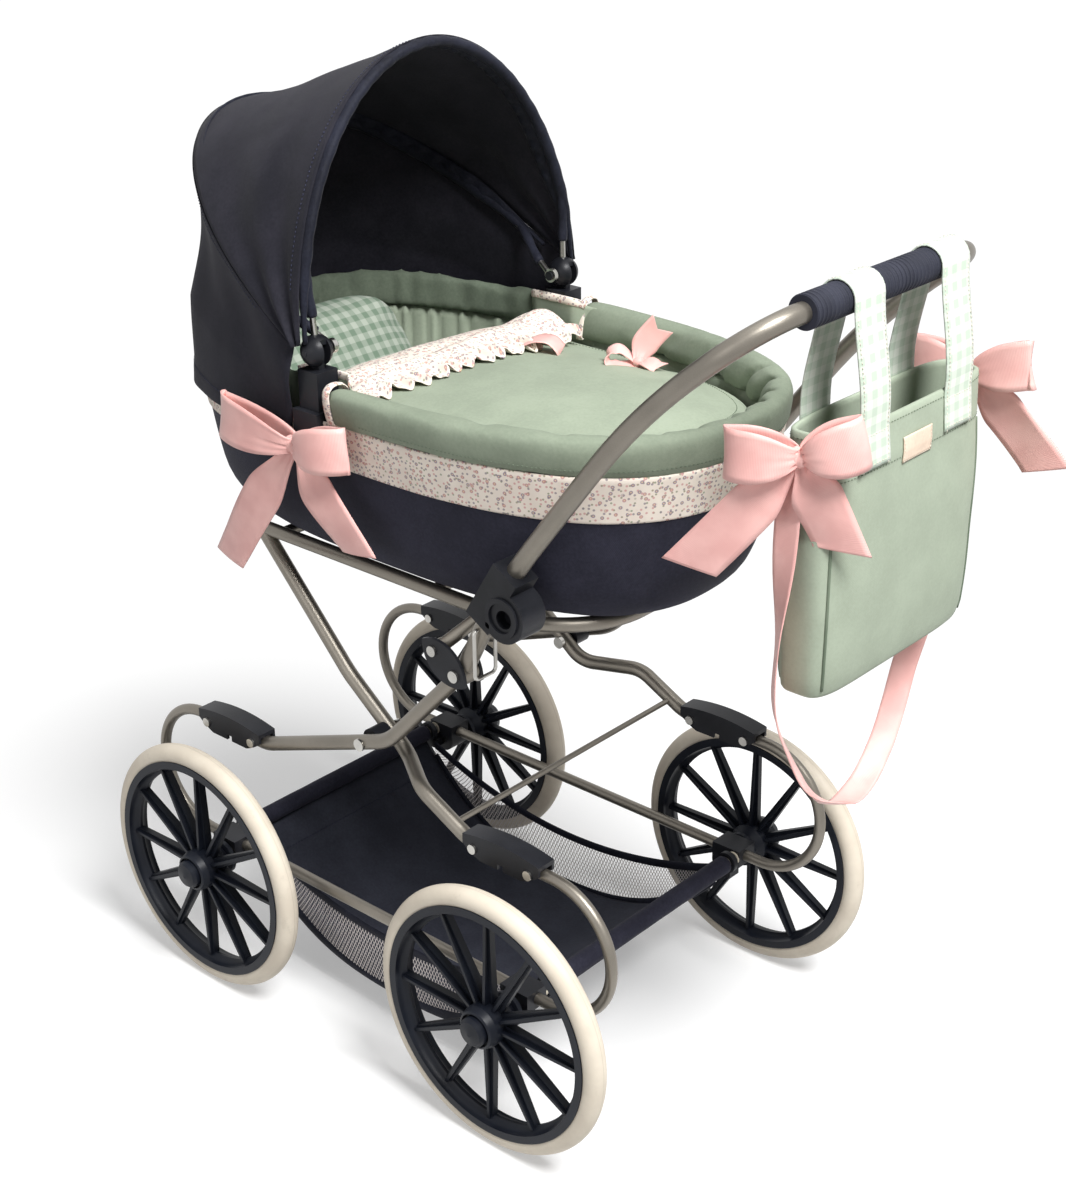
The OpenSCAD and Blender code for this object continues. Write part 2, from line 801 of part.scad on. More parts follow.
// Bedding
module mattress() {
    z = cot_floor_z + floor_t + 0.3;
    color("honeydew")
        loft([
            cot_ring(z, 60), cot_ring(z + 3, 51), cot_ring(z + 12, 46),
            cot_ring(z + 26, 46), cot_ring(z + 34, 51), cot_ring(z + 38, 62)
        ]);
}
module pillow() {
    half_l = 92;
    half_h = 60;
    half_t = 24;
    levels = [-1, -0.85, -0.5, 0, 0.5, 0.85, 1];
    sides = 32;
    color("palegreen")
        translate([cot_x - cot_hood_reach + 92, 0, cot_floor_z + 105])
            rotate([0, 52, 0])
                loft([for (k = levels)
                    let (grow = 0.72 + 0.28 * sqrt(1 - k * k))
                    [for (i = [0:sides - 1])
                        let (a = -360 * i / sides)
                        [half_h * grow * power(cos(a), 0.6), half_l * grow * power(sin(a), 0.6),
                            half_t * k * (1 - 0.35 * pow(max(abs(cos(a)), abs(sin(a))), 8))]]]);
}

// Coverlet: a crowned pad that spans the cot inside the rim, hollow under it
coverlet_head_x = -38;
coverlet_t = 13;
module coverlet() {
    inset = roll_inset + roll_half_w + 1;
    foot_x = cot_x + (cot_handle_reach - inset) * 0.985;
    steps = 26;
    across = 12;
    color(sage)
        loft([for (i = [0:steps])
            let (
                x = mix(coverlet_head_x, foot_x, sin(90 * i / steps)),
                half = plan_half_width(x, inset),
                crown = 24 * (0.55 + 0.45 * sin(180 * i / steps)) * min(1, half / 80)
            )
            concat(
                [for (k = [0:across]) coverlet_point(x, half, mix(-1, 1, k / across), crown, 0)],
                [for (k = [across:-1:0]) coverlet_point(x, half, mix(-1, 1, k / across), crown, coverlet_t)]
            )]);
}
function coverlet_point(x, half, k, crown, down) =
    [x, half * k, cot_top_z - 5 + crown * (1 - k * k) - down * (1 - 0.5 * pow(abs(k), 6))];

// Hood mount: a strap on the cot's side, a block on the rim and the tongue of the ball joint
module hood_mount() {
    strap_y = -cot_half_w - 0.4;
    block = 13;
    color(black)
        union() {
            translate([mount_x - 14, strap_y - 7, cot_top_z - 38])
                cube([28, 7, 46]);
            translate([mount_x - block, strap_y - 7, cot_top_z + 0.2])
                cube([2 * block, 26, 7.8]);
            translate([mount_x - 11, -pivot_y - 11, cot_top_z + 8])
                cube([22, 22, pivot_z - ball_r - 1.6 - cot_top_z - 8]);
            y_plate(-pivot_y - 3, -pivot_y + 3) {
                translate([mount_x - 5, cot_top_z + 8])
                    square([10, pivot_z - cot_top_z - 8]);
                translate([mount_x, pivot_z])
                    circle(r = 5, $fn = round_fn);
            }
            y_bar(mount_x, pivot_z, -pivot_y - ball_r - 0.5, -pivot_y + ball_r + 7, pivot_pin_d);
            y_bar(mount_x, pivot_z, -pivot_y + ball_r + 5.4, -pivot_y + ball_r + 7, pivot_pin_d + 3);
        }
}
module hood_balls() {
    color(black)
        for (sy = [0, 1])
            mirror([0, sy, 0])
                difference() {
                    translate([mount_x, -pivot_y, pivot_z])
                        sphere(r = ball_r, $fn = 64);
                    difference() {
                        y_bar(mount_x, pivot_z, -pivot_y - 3.4, -pivot_y + 3.4, 2 * ball_r + 4);
                        translate([mount_x - 8, -pivot_y - 5, pivot_z + 6])
                            cube([16, 10, 20]);
                    }
                    y_bar(mount_x, pivot_z, -pivot_y - 20, -pivot_y + 20, pivot_pin_d + 2 * axle_clearance);
                    bow_end_hole();
                }
}
module bow_end_hole() {
    run(bow_point(0, 0), bow_point(0, 30), bow_wire_d);
}
function bow_point(y, s, lean = front_bow_lean) =
    [mount_x - s * sin(lean), y - pivot_y, pivot_z + s * cos(lean)];

// A wire bow: an arch in a plane through the pivot, drawn in at both feet
function arch(t, half, high, foot, foot_s) =
    let (
        start = asin(foot_s / high),
        a = mix(start, 180 - start, t),
        s = high * sin(a),
        spread = mix(foot / cos(start), half, ease(min(1, (s - foot_s) / 70)))
    )
    [-spread * cos(a), s];
function leaned(p, lean) = [mount_x - p[1] * sin(lean), p[0], pivot_z + p[1] * cos(lean)];
bow_sides = 10;
module wire_arch(half, high, foot, foot_s, lean) {
    path = [for (i = [0:bow_steps]) arch(i / bow_steps, half, high, foot, foot_s)];
    loft([for (i = [0:bow_steps])
        let (
            before = path[max(0, i - 1)],
            after = path[min(bow_steps, i + 1)],
            v = unit(after - before),
            tangent = i == 0 ? [0, 1] : i == bow_steps ? [0, -1] : v,
            side = [-tangent[1], tangent[0]]
        )
        [for (k = [0:bow_sides - 1])
            let (
                a = -360 * k / bow_sides,
                flat = path[i] + side * cos(a) * bow_wire_d / 2,
                p = leaned(flat, lean),
                lift = sin(a) * bow_wire_d / 2
            )
            p + [lift * cos(lean), 0, lift * sin(lean)]]]);
}
module front_bow() {
    color("silver")
        wire_arch(hood_half_w - cloth_t - front_bow_gap - bow_wire_d / 2,
            front_bow_h - cloth_t - front_bow_gap - bow_wire_d / 2, pivot_y, 8, front_bow_lean);
}
module middle_bow() {
    eye_y = -pivot_y + ball_r + 3;
    color("silver") {
        wire_arch(hood_half_w - cloth_t - middle_bow_gap - bow_wire_d / 2,
            middle_bow_h - cloth_t - middle_bow_gap - bow_wire_d / 2, -eye_y, 5, middle_bow_lean);
        for (sy = [0, 1])
            mirror([0, sy, 0])
                difference() {
                    y_bar(mount_x, pivot_z, eye_y - 2, eye_y + 2, 12);
                    y_bar(mount_x, pivot_z, eye_y - 3, eye_y + 3, pivot_pin_d + 2 * axle_clearance);
                }
    }
}

// Hood cloth between the bows, and the rear panel down to its hem
hood_steps = 30;
top_steps = 7;
rear_steps = 6;
function hood_angle(u) = mix(first_bow_angle, 180 - first_bow_angle, u);
function bow_edge(u, high, lean, thin) =
    leaned([-(hood_half_w - thin) * cos(hood_angle(u)), (high - thin) * sin(hood_angle(u))], lean);
function hood_point(u, v, thin) =
    let (
        from = bow_edge(u, front_bow_h, front_bow_lean, thin),
        to = bow_edge(u, middle_bow_h, middle_bow_lean - 0.5, thin),
        sag = 5 * sin(180 * v) * sin(180 * u)
    )
    mix(from, to, v) - unit([-0.55, 0, 0.83]) * sag;
function rear_point(u, v, thin) =
    let (
        from = bow_edge(u, middle_bow_h, middle_bow_lean + 0.2, thin),
        start = 180 - hood_side_angle(mount_x - mount_half_gap + 4),
        side = pow(abs(cos(180 * u)), 2),
        p = plan(mix(-start, start - 360, u), thin - mix(2, 6, side)),
        to = [p[0], p[1], hem_z],
        tuck = 12 * sin(180 * min(1, v / 0.6)) * sin(180 * u)
    )
    mix(from, to, v) - unit([to[0] - mount_x, to[1] * 1.2, 0]) * tuck;
module hood_top() {
    color(navy)
        loft([for (i = [0:hood_steps]) concat(
            [for (j = [0:top_steps]) hood_point(i / hood_steps, j / top_steps, 0)],
            [for (j = [top_steps:-1:0]) hood_point(i / hood_steps, j / top_steps, cloth_t)])]);
}
module hood_rear() {
    color(navy)
        loft([for (i = [0:hood_steps]) concat(
            [for (j = [0:rear_steps]) rear_point(i / hood_steps, j / rear_steps, 0)],
            [for (j = [rear_steps:-1:0]) rear_point(i / hood_steps, j / rear_steps, cloth_t)])]);
}

// Bag: an open pouch with a soft belly
bag_sides = 40;
function bag_ring(z, half_w, half_d) = [for (i = [0:bag_sides - 1])
    let (a = -360 * i / bag_sides)
    [grip_x + half_d * power(cos(a), 0.4), bag_y + half_w * power(sin(a), 0.4), z]];
function bag_level(k, thin) =
    let (
        half_w = bag_w / 2 * (0.97 + 0.03 * sin(180 * k)),
        half_d = bag_half_depth(k)
    )
    bag_ring(bag_top_z - bag_h * (1 - k), half_w - thin, half_d - thin);
function bag_half_depth(k) = bag_depth / 2 * (0.72 + 0.28 * sin(20 + 140 * k));
module bag() {
    levels = [0.04, 0.14, 0.32, 0.55, 0.78, 1];
    color(sage)
        loft(concat(
            [bag_ring(bag_top_z - bag_h, bag_w / 2 - 9, bag_depth / 2 - 9)],
            [for (k = levels) bag_level(k, 0)],
            [for (i = [len(levels) - 1:-1:1]) bag_level(levels[i], bag_wall)],
            [bag_ring(bag_top_z - bag_h + 8, bag_w / 2 - 14, bag_depth / 2 - 12)]));
}
module bag_straps() {
    inner = grip_d / 2 + strap_gap;
    top_d = bag_half_depth(1) + strap_gap;
    low_d = bag_half_depth(1 - strap_sewn / bag_h) + strap_gap;
    color("mintcream")
        for (y = strap_ys)
            y_plate(y - strap_w / 2, y + strap_w / 2)
                strap_outline(inner, top_d, low_d, bag_top_z - strap_sewn);
}
module strap_outline(inner, top_d, low_d, low_z) {
    translate([grip_x, grip_z])
        difference() {
            circle(r = inner + strap_t, $fn = 64);
            circle(r = inner, $fn = 64);
            translate([-40, -80])
                square([80, 80]);
        }
    for (side = [0, 1])
        translate([grip_x, 0])
            mirror([side, 0])
                polygon([
                    [inner, grip_z], [inner + strap_t, grip_z], [top_d + strap_t, bag_top_z + 4],
                    [low_d + strap_t, low_z], [low_d, low_z], [top_d, bag_top_z + 4]
                ]);
}

// A flat ribbon lofted along points, with a direction and a size across for each point
module ribbon(points, across, wide, thick) {
    last = len(points) - 1;
    loft([for (i = [0:last])
        let (
            v = unit(points[min(last, i + 1)] - points[max(0, i - 1)]),
            w = unit(across[i] - v * (v * across[i])) * wide[i] / 2,
            n = unit(cross(v, w)) * thick / 2
        )
        [points[i] - w - n, points[i] - w + n, points[i] + w + n, points[i] + w - n]]);
}
// Route of the shoulder ribbon: distances from the bag's near edge, below its top and along X
// from the grip. It hangs in a loop under the bag, from one side to the other.
ribbon_route = [
    [-5, 28, -6], [-8, 80, -6], [-11, 150, -6], [-9, 204, -8], [10, 246, -10], [43, 294, -12],
    [90, 333, -14], [128, 333, -16], [158, 310, -18], [177, 282, -20], [193, 252, -22],
    [215, 200, -20], [214, 140, -16], [212, 80, -10], [213, 28, -6]
];
ribbon_near_across = [0.67, -0.74, 0];
ribbon_low_across = [0.75, 0.66, 0];
function ribbon_across(i) =
    i < 2 || i > 11 ? [1, 0, 0]
    : i < 6 ? ribbon_near_across
    : i < 11 ? ribbon_low_across
    : [0.95, 0.3, 0];
module shoulder_ribbon() {
    wide = 20;
    last = len(ribbon_route) - 1;
    scale_y = (bag_w + 8) / 216;
    near_y = bag_y - bag_w / 2;
    color(pink)
        ribbon([for (i = [0:last])
            let (p = ribbon_route[i])
            [grip_x + p[2], near_y - 4 + (p[0] + 4) * scale_y, bag_top_z - p[1]]],
            [for (i = [0:last]) ribbon_across(i)], [for (i = [0:last]) wide], 1.2);
}

// A tied bow in its own plane: two loops, two tails and a knot; +X across, +Z up, -Y outwards
module tied_bow(loops, tails, wide, spreads) {
    steps = 16;
    thick = 1.4;
    knot = 12;
    for (side = [-1, 1]) {
        spread = spreads[side < 0 ? 0 : 1];
        loop = loops[side < 0 ? 0 : 1];
        tail = tails[side < 0 ? 0 : 1];
        ribbon([for (i = [0:steps])
            let (a = 360 * i / steps, bulge = sin(a) > 0 ? 12 : 3)
            [side * (2 + loop * (1 - cos(a)) / 2), -4 - bulge * sin(a) - 2.4 * cos(a / 2), 5 * (1 - cos(a))]],
            [for (i = [0:steps]) [-side * 0.12, 0, 1]],
            [for (i = [0:steps]) mix(knot, wide, ease(sin(180 * i / steps)))], thick);
        ribbon([for (i = [0:steps])
            let (k = i / steps)
            [side * (2 + tail * spread * k), -4 + side * 1.1 - 3 * sin(180 * k), -2 - tail * k]],
            [for (i = [0:steps]) [1, 0, side * spread]],
            [for (i = [0:steps]) mix(knot, wide, ease(min(1, 2.5 * i / steps)))], thick);
    }
    translate([0, -4, 0])
        rotate([0, 90, 0])
            rotate([0, 0, 15])
                cylinder(d = 15, h = 15, center = true, $fn = 12);
}
module cot_bow() {
    color(pink)
        translate([mount_x - 3, -cot_half_w - 12.5, cot_top_z - 18])
            tied_bow([84, 56], [120, 76], ribbon_w, [0.74, 0.8]);
}
module bag_bows() {
    color(pink) {
        translate([grip_x, bag_y - bag_w / 2 - 6, bag_top_z - 12])
            rotate([0, -8, 30])
                tied_bow([48, 44], [74, 70], ribbon_w, [1.1, 0.3]);
        translate([grip_x, bag_y + bag_w / 2 + 7, bag_top_z - 12])
            rotate([0, 6, 187])
                tied_bow([46, 46], [68, 66], ribbon_w, [0.85, 0.45]);
    }
}

wheel(0);  // wheel_hood_near
wheel(1);  // wheel_hood_far
wheel(2);  // wheel_handle_near
wheel(3);  // wheel_handle_far
tyre(0);  // tyre_hood_near
tyre(1);  // tyre_hood_far
tyre(2);  // tyre_handle_near
tyre(3);  // tyre_handle_far
mirror([1, 0, 0]) axle_bracket();  // axle_bracket_hood_near
mirror([1, 0, 0]) far_side() axle_bracket();  // axle_bracket_hood_far
axle_bracket();  // axle_bracket_handle_near
far_side() axle_bracket();  // axle_bracket_handle_far
stub_axles();
side_rail();  // side_rail_near
far_side() side_rail();  // side_rail_far
mirror([1, 0, 0]) clip();  // clip_hood_near
mirror([1, 0, 0]) far_side() clip();  // clip_hood_far
clip();  // clip_handle_near
far_side() clip();  // clip_handle_far
clip_rivets();
front_leg();  // front_leg_near
far_side() front_leg();  // front_leg_far
rear_leg();  // rear_leg_near
far_side() rear_leg();  // rear_leg_far
crossing_bolts();
crossing_spacers();
cross_rod();
cot_frame();
knuckle();  // knuckle_near
far_side() knuckle();  // knuckle_far
knuckle_pins();
handle_tube();
grip();
hinge_housing();  // hinge_housing_near
far_side() hinge_housing();  // hinge_housing_far
bail();  // bail_near
far_side() bail();  // bail_far
basket_bars();
basket_cloth();
basket_mesh();  // basket_mesh_near
far_side() basket_mesh();  // basket_mesh_far
cot_body();
rim_roll();
hood_end_roll();
mattress();
pillow();
coverlet();
hood_mount();  // hood_mount_near
far_side() hood_mount();  // hood_mount_far
hood_balls();
front_bow();
middle_bow();
hood_top();
hood_rear();
bag();
bag_straps();
shoulder_ribbon();
bag_bows();
cot_bow();
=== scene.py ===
import math

import bmesh
import bpy
from mathutils import Euler, Matrix, Vector, noise
from mathutils.bvhtree import BVHTree


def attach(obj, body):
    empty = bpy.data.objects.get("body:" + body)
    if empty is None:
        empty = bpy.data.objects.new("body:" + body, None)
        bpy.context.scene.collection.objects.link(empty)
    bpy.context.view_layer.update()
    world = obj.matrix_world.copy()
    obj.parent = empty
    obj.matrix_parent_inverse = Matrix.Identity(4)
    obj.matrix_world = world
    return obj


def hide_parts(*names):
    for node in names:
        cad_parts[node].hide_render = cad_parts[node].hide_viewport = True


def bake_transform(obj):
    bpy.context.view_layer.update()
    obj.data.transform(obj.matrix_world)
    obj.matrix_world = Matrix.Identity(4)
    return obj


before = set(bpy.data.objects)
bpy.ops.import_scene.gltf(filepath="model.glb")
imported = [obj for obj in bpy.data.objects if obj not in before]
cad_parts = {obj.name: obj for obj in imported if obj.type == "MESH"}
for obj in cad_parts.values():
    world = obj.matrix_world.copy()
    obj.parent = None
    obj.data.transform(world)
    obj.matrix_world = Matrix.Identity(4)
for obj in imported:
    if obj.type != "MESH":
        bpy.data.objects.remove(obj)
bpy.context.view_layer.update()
scene = bpy.context.scene

# Lengths below are in millimetres, as in the part's source, and become metres in the meshes.
cot = {
    "x": 30.0, "halfWidth": 156.0, "handleReach": 250.0, "hoodReach": 288.0,
    "handlePower": 2.48, "hoodPower": 3.0, "floor": 452.0, "top": 583.0,
    "rollInset": 6.5, "endRollInset": 11.0, "rollHalfWidth": 11.5, "rollHalfHeight": 16.0,
    "mountX": -26.0, "mountGap": 22.0,
    "profile": [(0, 46), (4, 38), (14, 28), (32, 18), (58, 12), (95, 6), (131, 0)],
}
hood = {"halfWidth": 163.0, "pivotZ": 637.0, "firstAngle": 2.0, "hem": 566.0}
frontBow = {"high": 219.0, "lean": 4.0, "body": "hood_front", "node": "front_bow"}
middleBow = {"high": 281.0, "lean": 60.0, "body": "hood_middle", "node": "middle_bow"}
nearFar = ((-1, "Near"), (1, "Far"))


def mix(a, b, t):
    return a + (b - a) * t


def ease(t):
    t = min(1.0, max(0.0, t))
    return t * t * (3 - 2 * t)


def power(v, p):
    return math.copysign(abs(v) ** p, v)


def sinDeg(a):
    return math.sin(math.radians(a))


def cosDeg(a):
    return math.cos(math.radians(a))


def ripple(x, y, z, scale, seed):
    return noise.noise(Vector((x * scale + seed, y * scale + seed * 1.7, z * scale - seed * 0.6)))


def plan(angle, inset):
    c, s = cosDeg(angle), sinDeg(angle)
    p = 2 / (cot["handlePower"] if c >= 0 else cot["hoodPower"])
    reach = (cot["handleReach"] if c >= 0 else cot["hoodReach"]) - inset
    return cot["x"] + reach * power(c, p), (cot["halfWidth"] - inset) * power(s, p)


def planHalfWidth(x, inset):
    p = cot["handlePower"] if x >= cot["x"] else cot["hoodPower"]
    reach = (cot["handleReach"] if x >= cot["x"] else cot["hoodReach"]) - inset
    return (cot["halfWidth"] - inset) * max(0.0, 1 - (abs(x - cot["x"]) / reach) ** p) ** (1 / p)


def hoodSideAngle(x):
    return math.degrees(math.acos(((cot["x"] - x) / cot["hoodReach"]) ** (cot["hoodPower"] / 2)))


def wallInset(high):
    rows = cot["profile"]
    for k in range(len(rows) - 1):
        if high <= rows[k + 1][0] or k == len(rows) - 2:
            break
    a, b = rows[max(0, k - 1)], rows[k]
    c, d = rows[k + 1], rows[min(len(rows) - 1, k + 2)]
    t = (high - b[0]) / (c[0] - b[0])
    slopeB = (c[1] - a[1]) / max(1e-6, c[0] - a[0]) * (c[0] - b[0])
    slopeC = (d[1] - b[1]) / max(1e-6, d[0] - b[0]) * (c[0] - b[0])
    return ((2 * t ** 3 - 3 * t ** 2 + 1) * b[1] + (t ** 3 - 2 * t ** 2 + t) * slopeB
            + (3 * t ** 2 - 2 * t ** 3) * c[1] + (t ** 3 - t ** 2) * slopeC)


def leaned(y, s, lean):
    return Vector((cot["mountX"] - s * sinDeg(lean), y, hood["pivotZ"] + s * cosDeg(lean)))


def bowEdge(u, bow, thin, turn=0.0):
    t = mix(hood["firstAngle"], 180 - hood["firstAngle"], u)
    y, s = -(hood["halfWidth"] - thin) * cosDeg(t), (bow["high"] - thin) * sinDeg(t)
    return leaned(y, s, bow["lean"] + turn)


def hoodPoint(u, v, thin=0.2):
    a, b = bowEdge(u, frontBow, thin), bowEdge(u, middleBow, thin, -0.5)
    sag = 5 * sinDeg(180 * v) * sinDeg(180 * u)
    return a.lerp(b, v) - Vector((-0.55, 0, 0.83)).normalized() * sag


def rearPoint(u, v, thin=0.2):
    a = bowEdge(u, middleBow, thin, 0.2)
    start = 180 - hoodSideAngle(cot["mountX"] - cot["mountGap"] + 4)
    side = cosDeg(180 * u) ** 2
    x, y = plan(mix(-start, start - 360, u), thin - mix(2, 6, side))
    tuck = 12 * sinDeg(180 * min(1, v / 0.6)) * sinDeg(180 * u)
    inward = Vector((x - cot["mountX"], y * 1.2, 0)).normalized()
    return a.lerp(Vector((x, y, hood["hem"])), v) - inward * tuck


def throughPoints(a, b, c, d, t):
    return 0.5 * (2 * b + (c - a) * t + (2 * a - 5 * b + 4 * c - d) * t * t
                  + (3 * b - a - 3 * c + d) * t ** 3)


# Shader building: a wire carries one socket, so that maths reads as maths.
class Wire:
    def __init__(self, tree, socket):
        self.tree = tree
        self.socket = socket

    def math(self, operation, *others, first=True):
        made = self.tree.nodes.new("ShaderNodeMath")
        made.operation = operation
        terms = (self,) + others if first else others + (self,)
        for place, term in enumerate(terms):
            if isinstance(term, Wire):
                self.tree.links.new(term.socket, made.inputs[place])
            else:
                made.inputs[place].default_value = term
        return Wire(self.tree, made.outputs[0])

    def __add__(self, other):
        return self.math("ADD", other)

    def __sub__(self, other):
        return self.math("SUBTRACT", other)

    def __rsub__(self, other):
        return self.math("SUBTRACT", other, first=False)

    def __mul__(self, other):
        return self.math("MULTIPLY", other)

    def wave(self, pitch):
        return (self * (2 * math.pi / pitch)).math("SINE")

    def step(self, low, high):
        spread = self.tree.nodes.new("ShaderNodeMapRange")
        spread.interpolation_type = "SMOOTHSTEP"
        spread.inputs["From Min"].default_value = low
        spread.inputs["From Max"].default_value = high
        self.tree.links.new(self.socket, spread.inputs["Value"])
        return Wire(self.tree, spread.outputs[0])


def tint(r, g, b):
    shares = [c / 255 for c in (r, g, b)]
    return tuple(((c + 0.055) / 1.055) ** 2.4 if c > 0.04045 else c / 12.92 for c in shares) + (1.0,)


class Finish:
    def __init__(self, name, **constants):
        self.material = bpy.data.materials.new(name)
        self.material.use_nodes = True
        self.tree = self.material.node_tree
        self.shader = next(n for n in self.tree.nodes if n.type == "BSDF_PRINCIPLED")
        for key, value in constants.items():
            self.shader.inputs[key.replace("_", " ")].default_value = value

    def node(self, kind, settings=(), sockets=(), out=0):
        made = self.tree.nodes.new(kind)
        for key, value in dict(settings).items():
            setattr(made, key, value)
        for key, value in dict(sockets).items():
            if isinstance(value, Wire):
                self.tree.links.new(value.socket, made.inputs[key])
            else:
                made.inputs[key].default_value = value
        return Wire(self.tree, made.outputs[out])

    def axes(self, vector):
        split = self.tree.nodes.new("ShaderNodeSeparateXYZ")
        self.tree.links.new(vector.socket, split.inputs[0])
        return [Wire(self.tree, socket) for socket in split.outputs]

    def place(self):
        return self.node("ShaderNodeTexCoord", out="Object")

    def cloth(self):
        return self.node("ShaderNodeUVMap", {"uv_map": "cloth"})

    def noise(self, vector, scale, detail=3.0, rough=0.5):
        return self.node("ShaderNodeTexNoise", {},
                         {"Vector": vector, "Scale": scale, "Detail": detail, "Roughness": rough})

    def blend(self, factor, a, b):
        made = self.tree.nodes.new("ShaderNodeMix")
        made.data_type = "RGBA"
        for place, value in ((0, factor), (6, a), (7, b)):
            if isinstance(value, Wire):
                self.tree.links.new(value.socket, made.inputs[place])
            else:
                made.inputs[place].default_value = value
        return Wire(self.tree, made.outputs[2])

    def to(self, name, wire):
        self.tree.links.new(wire.socket, self.shader.inputs[name])
        return self

    def bump(self, height, strength):
        made = self.node("ShaderNodeBump", {}, {"Height": height, "Strength": strength, "Distance": 1.0})
        return self.to("Normal", made)


def fabric(name, light, dark, pitch, twill, rough, sheen, byUv=True):
    f = Finish(name, Sheen_Weight=sheen, Sheen_Roughness=0.45, Specular_IOR_Level=0.1)
    where = f.place()
    if byUv:
        across, along = f.axes(f.cloth())[:2]
    else:
        x, y, z = f.axes(where)
        across, along = x + y * 0.5, z + y * 0.866
    yarn = (across + along).wave(pitch) if twill else across.wave(pitch) * along.wave(pitch)
    mottle = f.noise(where, 22, 4.0, 0.6)
    slub = f.noise(where, 420, 2.0)
    tone = (mottle * 0.7 + slub * 0.3).step(0.3, 0.72)
    f.to("Base Color", f.blend(tone + yarn * 0.1, dark, light))
    f.to("Roughness", mottle * 0.16 + (rough - 0.08))
    f.bump(yarn * 0.00022 + slub * 0.00018 + mottle * 0.0005, 0.25)
    return f


def moulded(name, light, dark, rough, grain, metal=0.0):
    f = Finish(name, Metallic=metal, Specular_IOR_Level=0.2)
    where = f.place()
    patch = f.noise(where, 30, 3.0)
    speck = f.noise(where, 900, 2.0)
    # Convex edges are blended toward the lighter colour
    convexEdge = f.node("ShaderNodeNewGeometry", out="Pointiness").step(0.52, 0.6)
    f.to("Base Color", f.blend(patch.step(0.3, 0.7) * 0.7 + convexEdge * 0.3, dark, light))
    f.to("Roughness", patch * 0.14 + speck * 0.06 + (rough - 0.1))
    f.bump(speck * 0.0002 + patch * 0.0002, grain)
    return f


def makePewter():
    f = Finish("pewterPaint", Metallic=0.85)
    where = f.place()
    flake = f.noise(where, 1600, 2.0)
    patch = f.noise(where, 26, 3.0)
    f.to("Base Color", f.blend(patch * 0.6 + flake * 0.4, tint(104, 99, 91), tint(150, 144, 134)))
    f.to("Roughness", patch * 0.12 + flake * 0.12 + 0.28)
    return f.bump(flake * 0.0001, 0.15)


def makeFoam():
    f = Finish("navyFoam", Specular_IOR_Level=0.3)
    where = f.place()
    rib = f.axes(where)[1].wave(0.0024)
    patch = f.noise(where, 40, 3.0)
    speck = f.noise(where, 1200, 2.0)
    f.to("Base Color", f.blend(patch.step(0.3, 0.7) * 0.6 + rib * 0.2, tint(34, 36, 47), tint(54, 56, 69)))
    f.to("Roughness", patch * 0.1 + speck * 0.08 + 0.66)
    return f.bump(rib * 0.0005 + speck * 0.0003, 0.6)


def makeTyre():
    f = Finish("ivoryTyre", Specular_IOR_Level=0.35)
    where = f.place()
    wheelMiddle = 0.182
    patch = f.noise(where, 18, 4.0, 0.6)
    dust = f.noise(where, 320, 2.0)
    seam = (f.axes(where)[1].math("ABSOLUTE") - wheelMiddle).math("ABSOLUTE").step(0.0, 0.0009)
    scuff = f.noise(where, 60, 4.0, 0.7).step(0.58, 0.78)
    clean = f.blend(patch.step(0.3, 0.7), tint(212, 201, 184), tint(228, 218, 201))
    f.to("Base Color", f.blend(scuff * 0.25 + (1 - seam) * 0.25, clean, tint(160, 149, 132)))
    f.to("Roughness", patch * 0.15 + dust * 0.1 + 0.4)
    return f.bump(seam * 0.0006 + dust * 0.0001, 0.3)


def makeGingham(name, light, dark, byUv=True):
    f = Finish(name, Roughness=0.8, Sheen_Weight=0.15, Specular_IOR_Level=0.2)
    where = f.place()
    if byUv:
        across, along = f.axes(f.cloth())[:2]
    else:
        turned = f.node("ShaderNodeMapping", {"vector_type": "POINT"},
                        {"Vector": where, "Rotation": (0.0, math.radians(-52), 0.0)})
        along, across = f.axes(turned)[:2]
    first = across.wave(0.0125).step(-0.12, 0.12)
    second = along.wave(0.0125).step(-0.12, 0.12)
    yarn = across.wave(0.0011) * along.wave(0.0011)
    soft = f.noise(where, 60, 3.0)
    share = first * 0.5 + second * 0.5
    base = f.blend(share, light, dark)
    f.to("Base Color", f.blend(soft * 0.3, base, dark))
    return f.bump(yarn * 0.0002 + soft * 0.0006, 0.25)


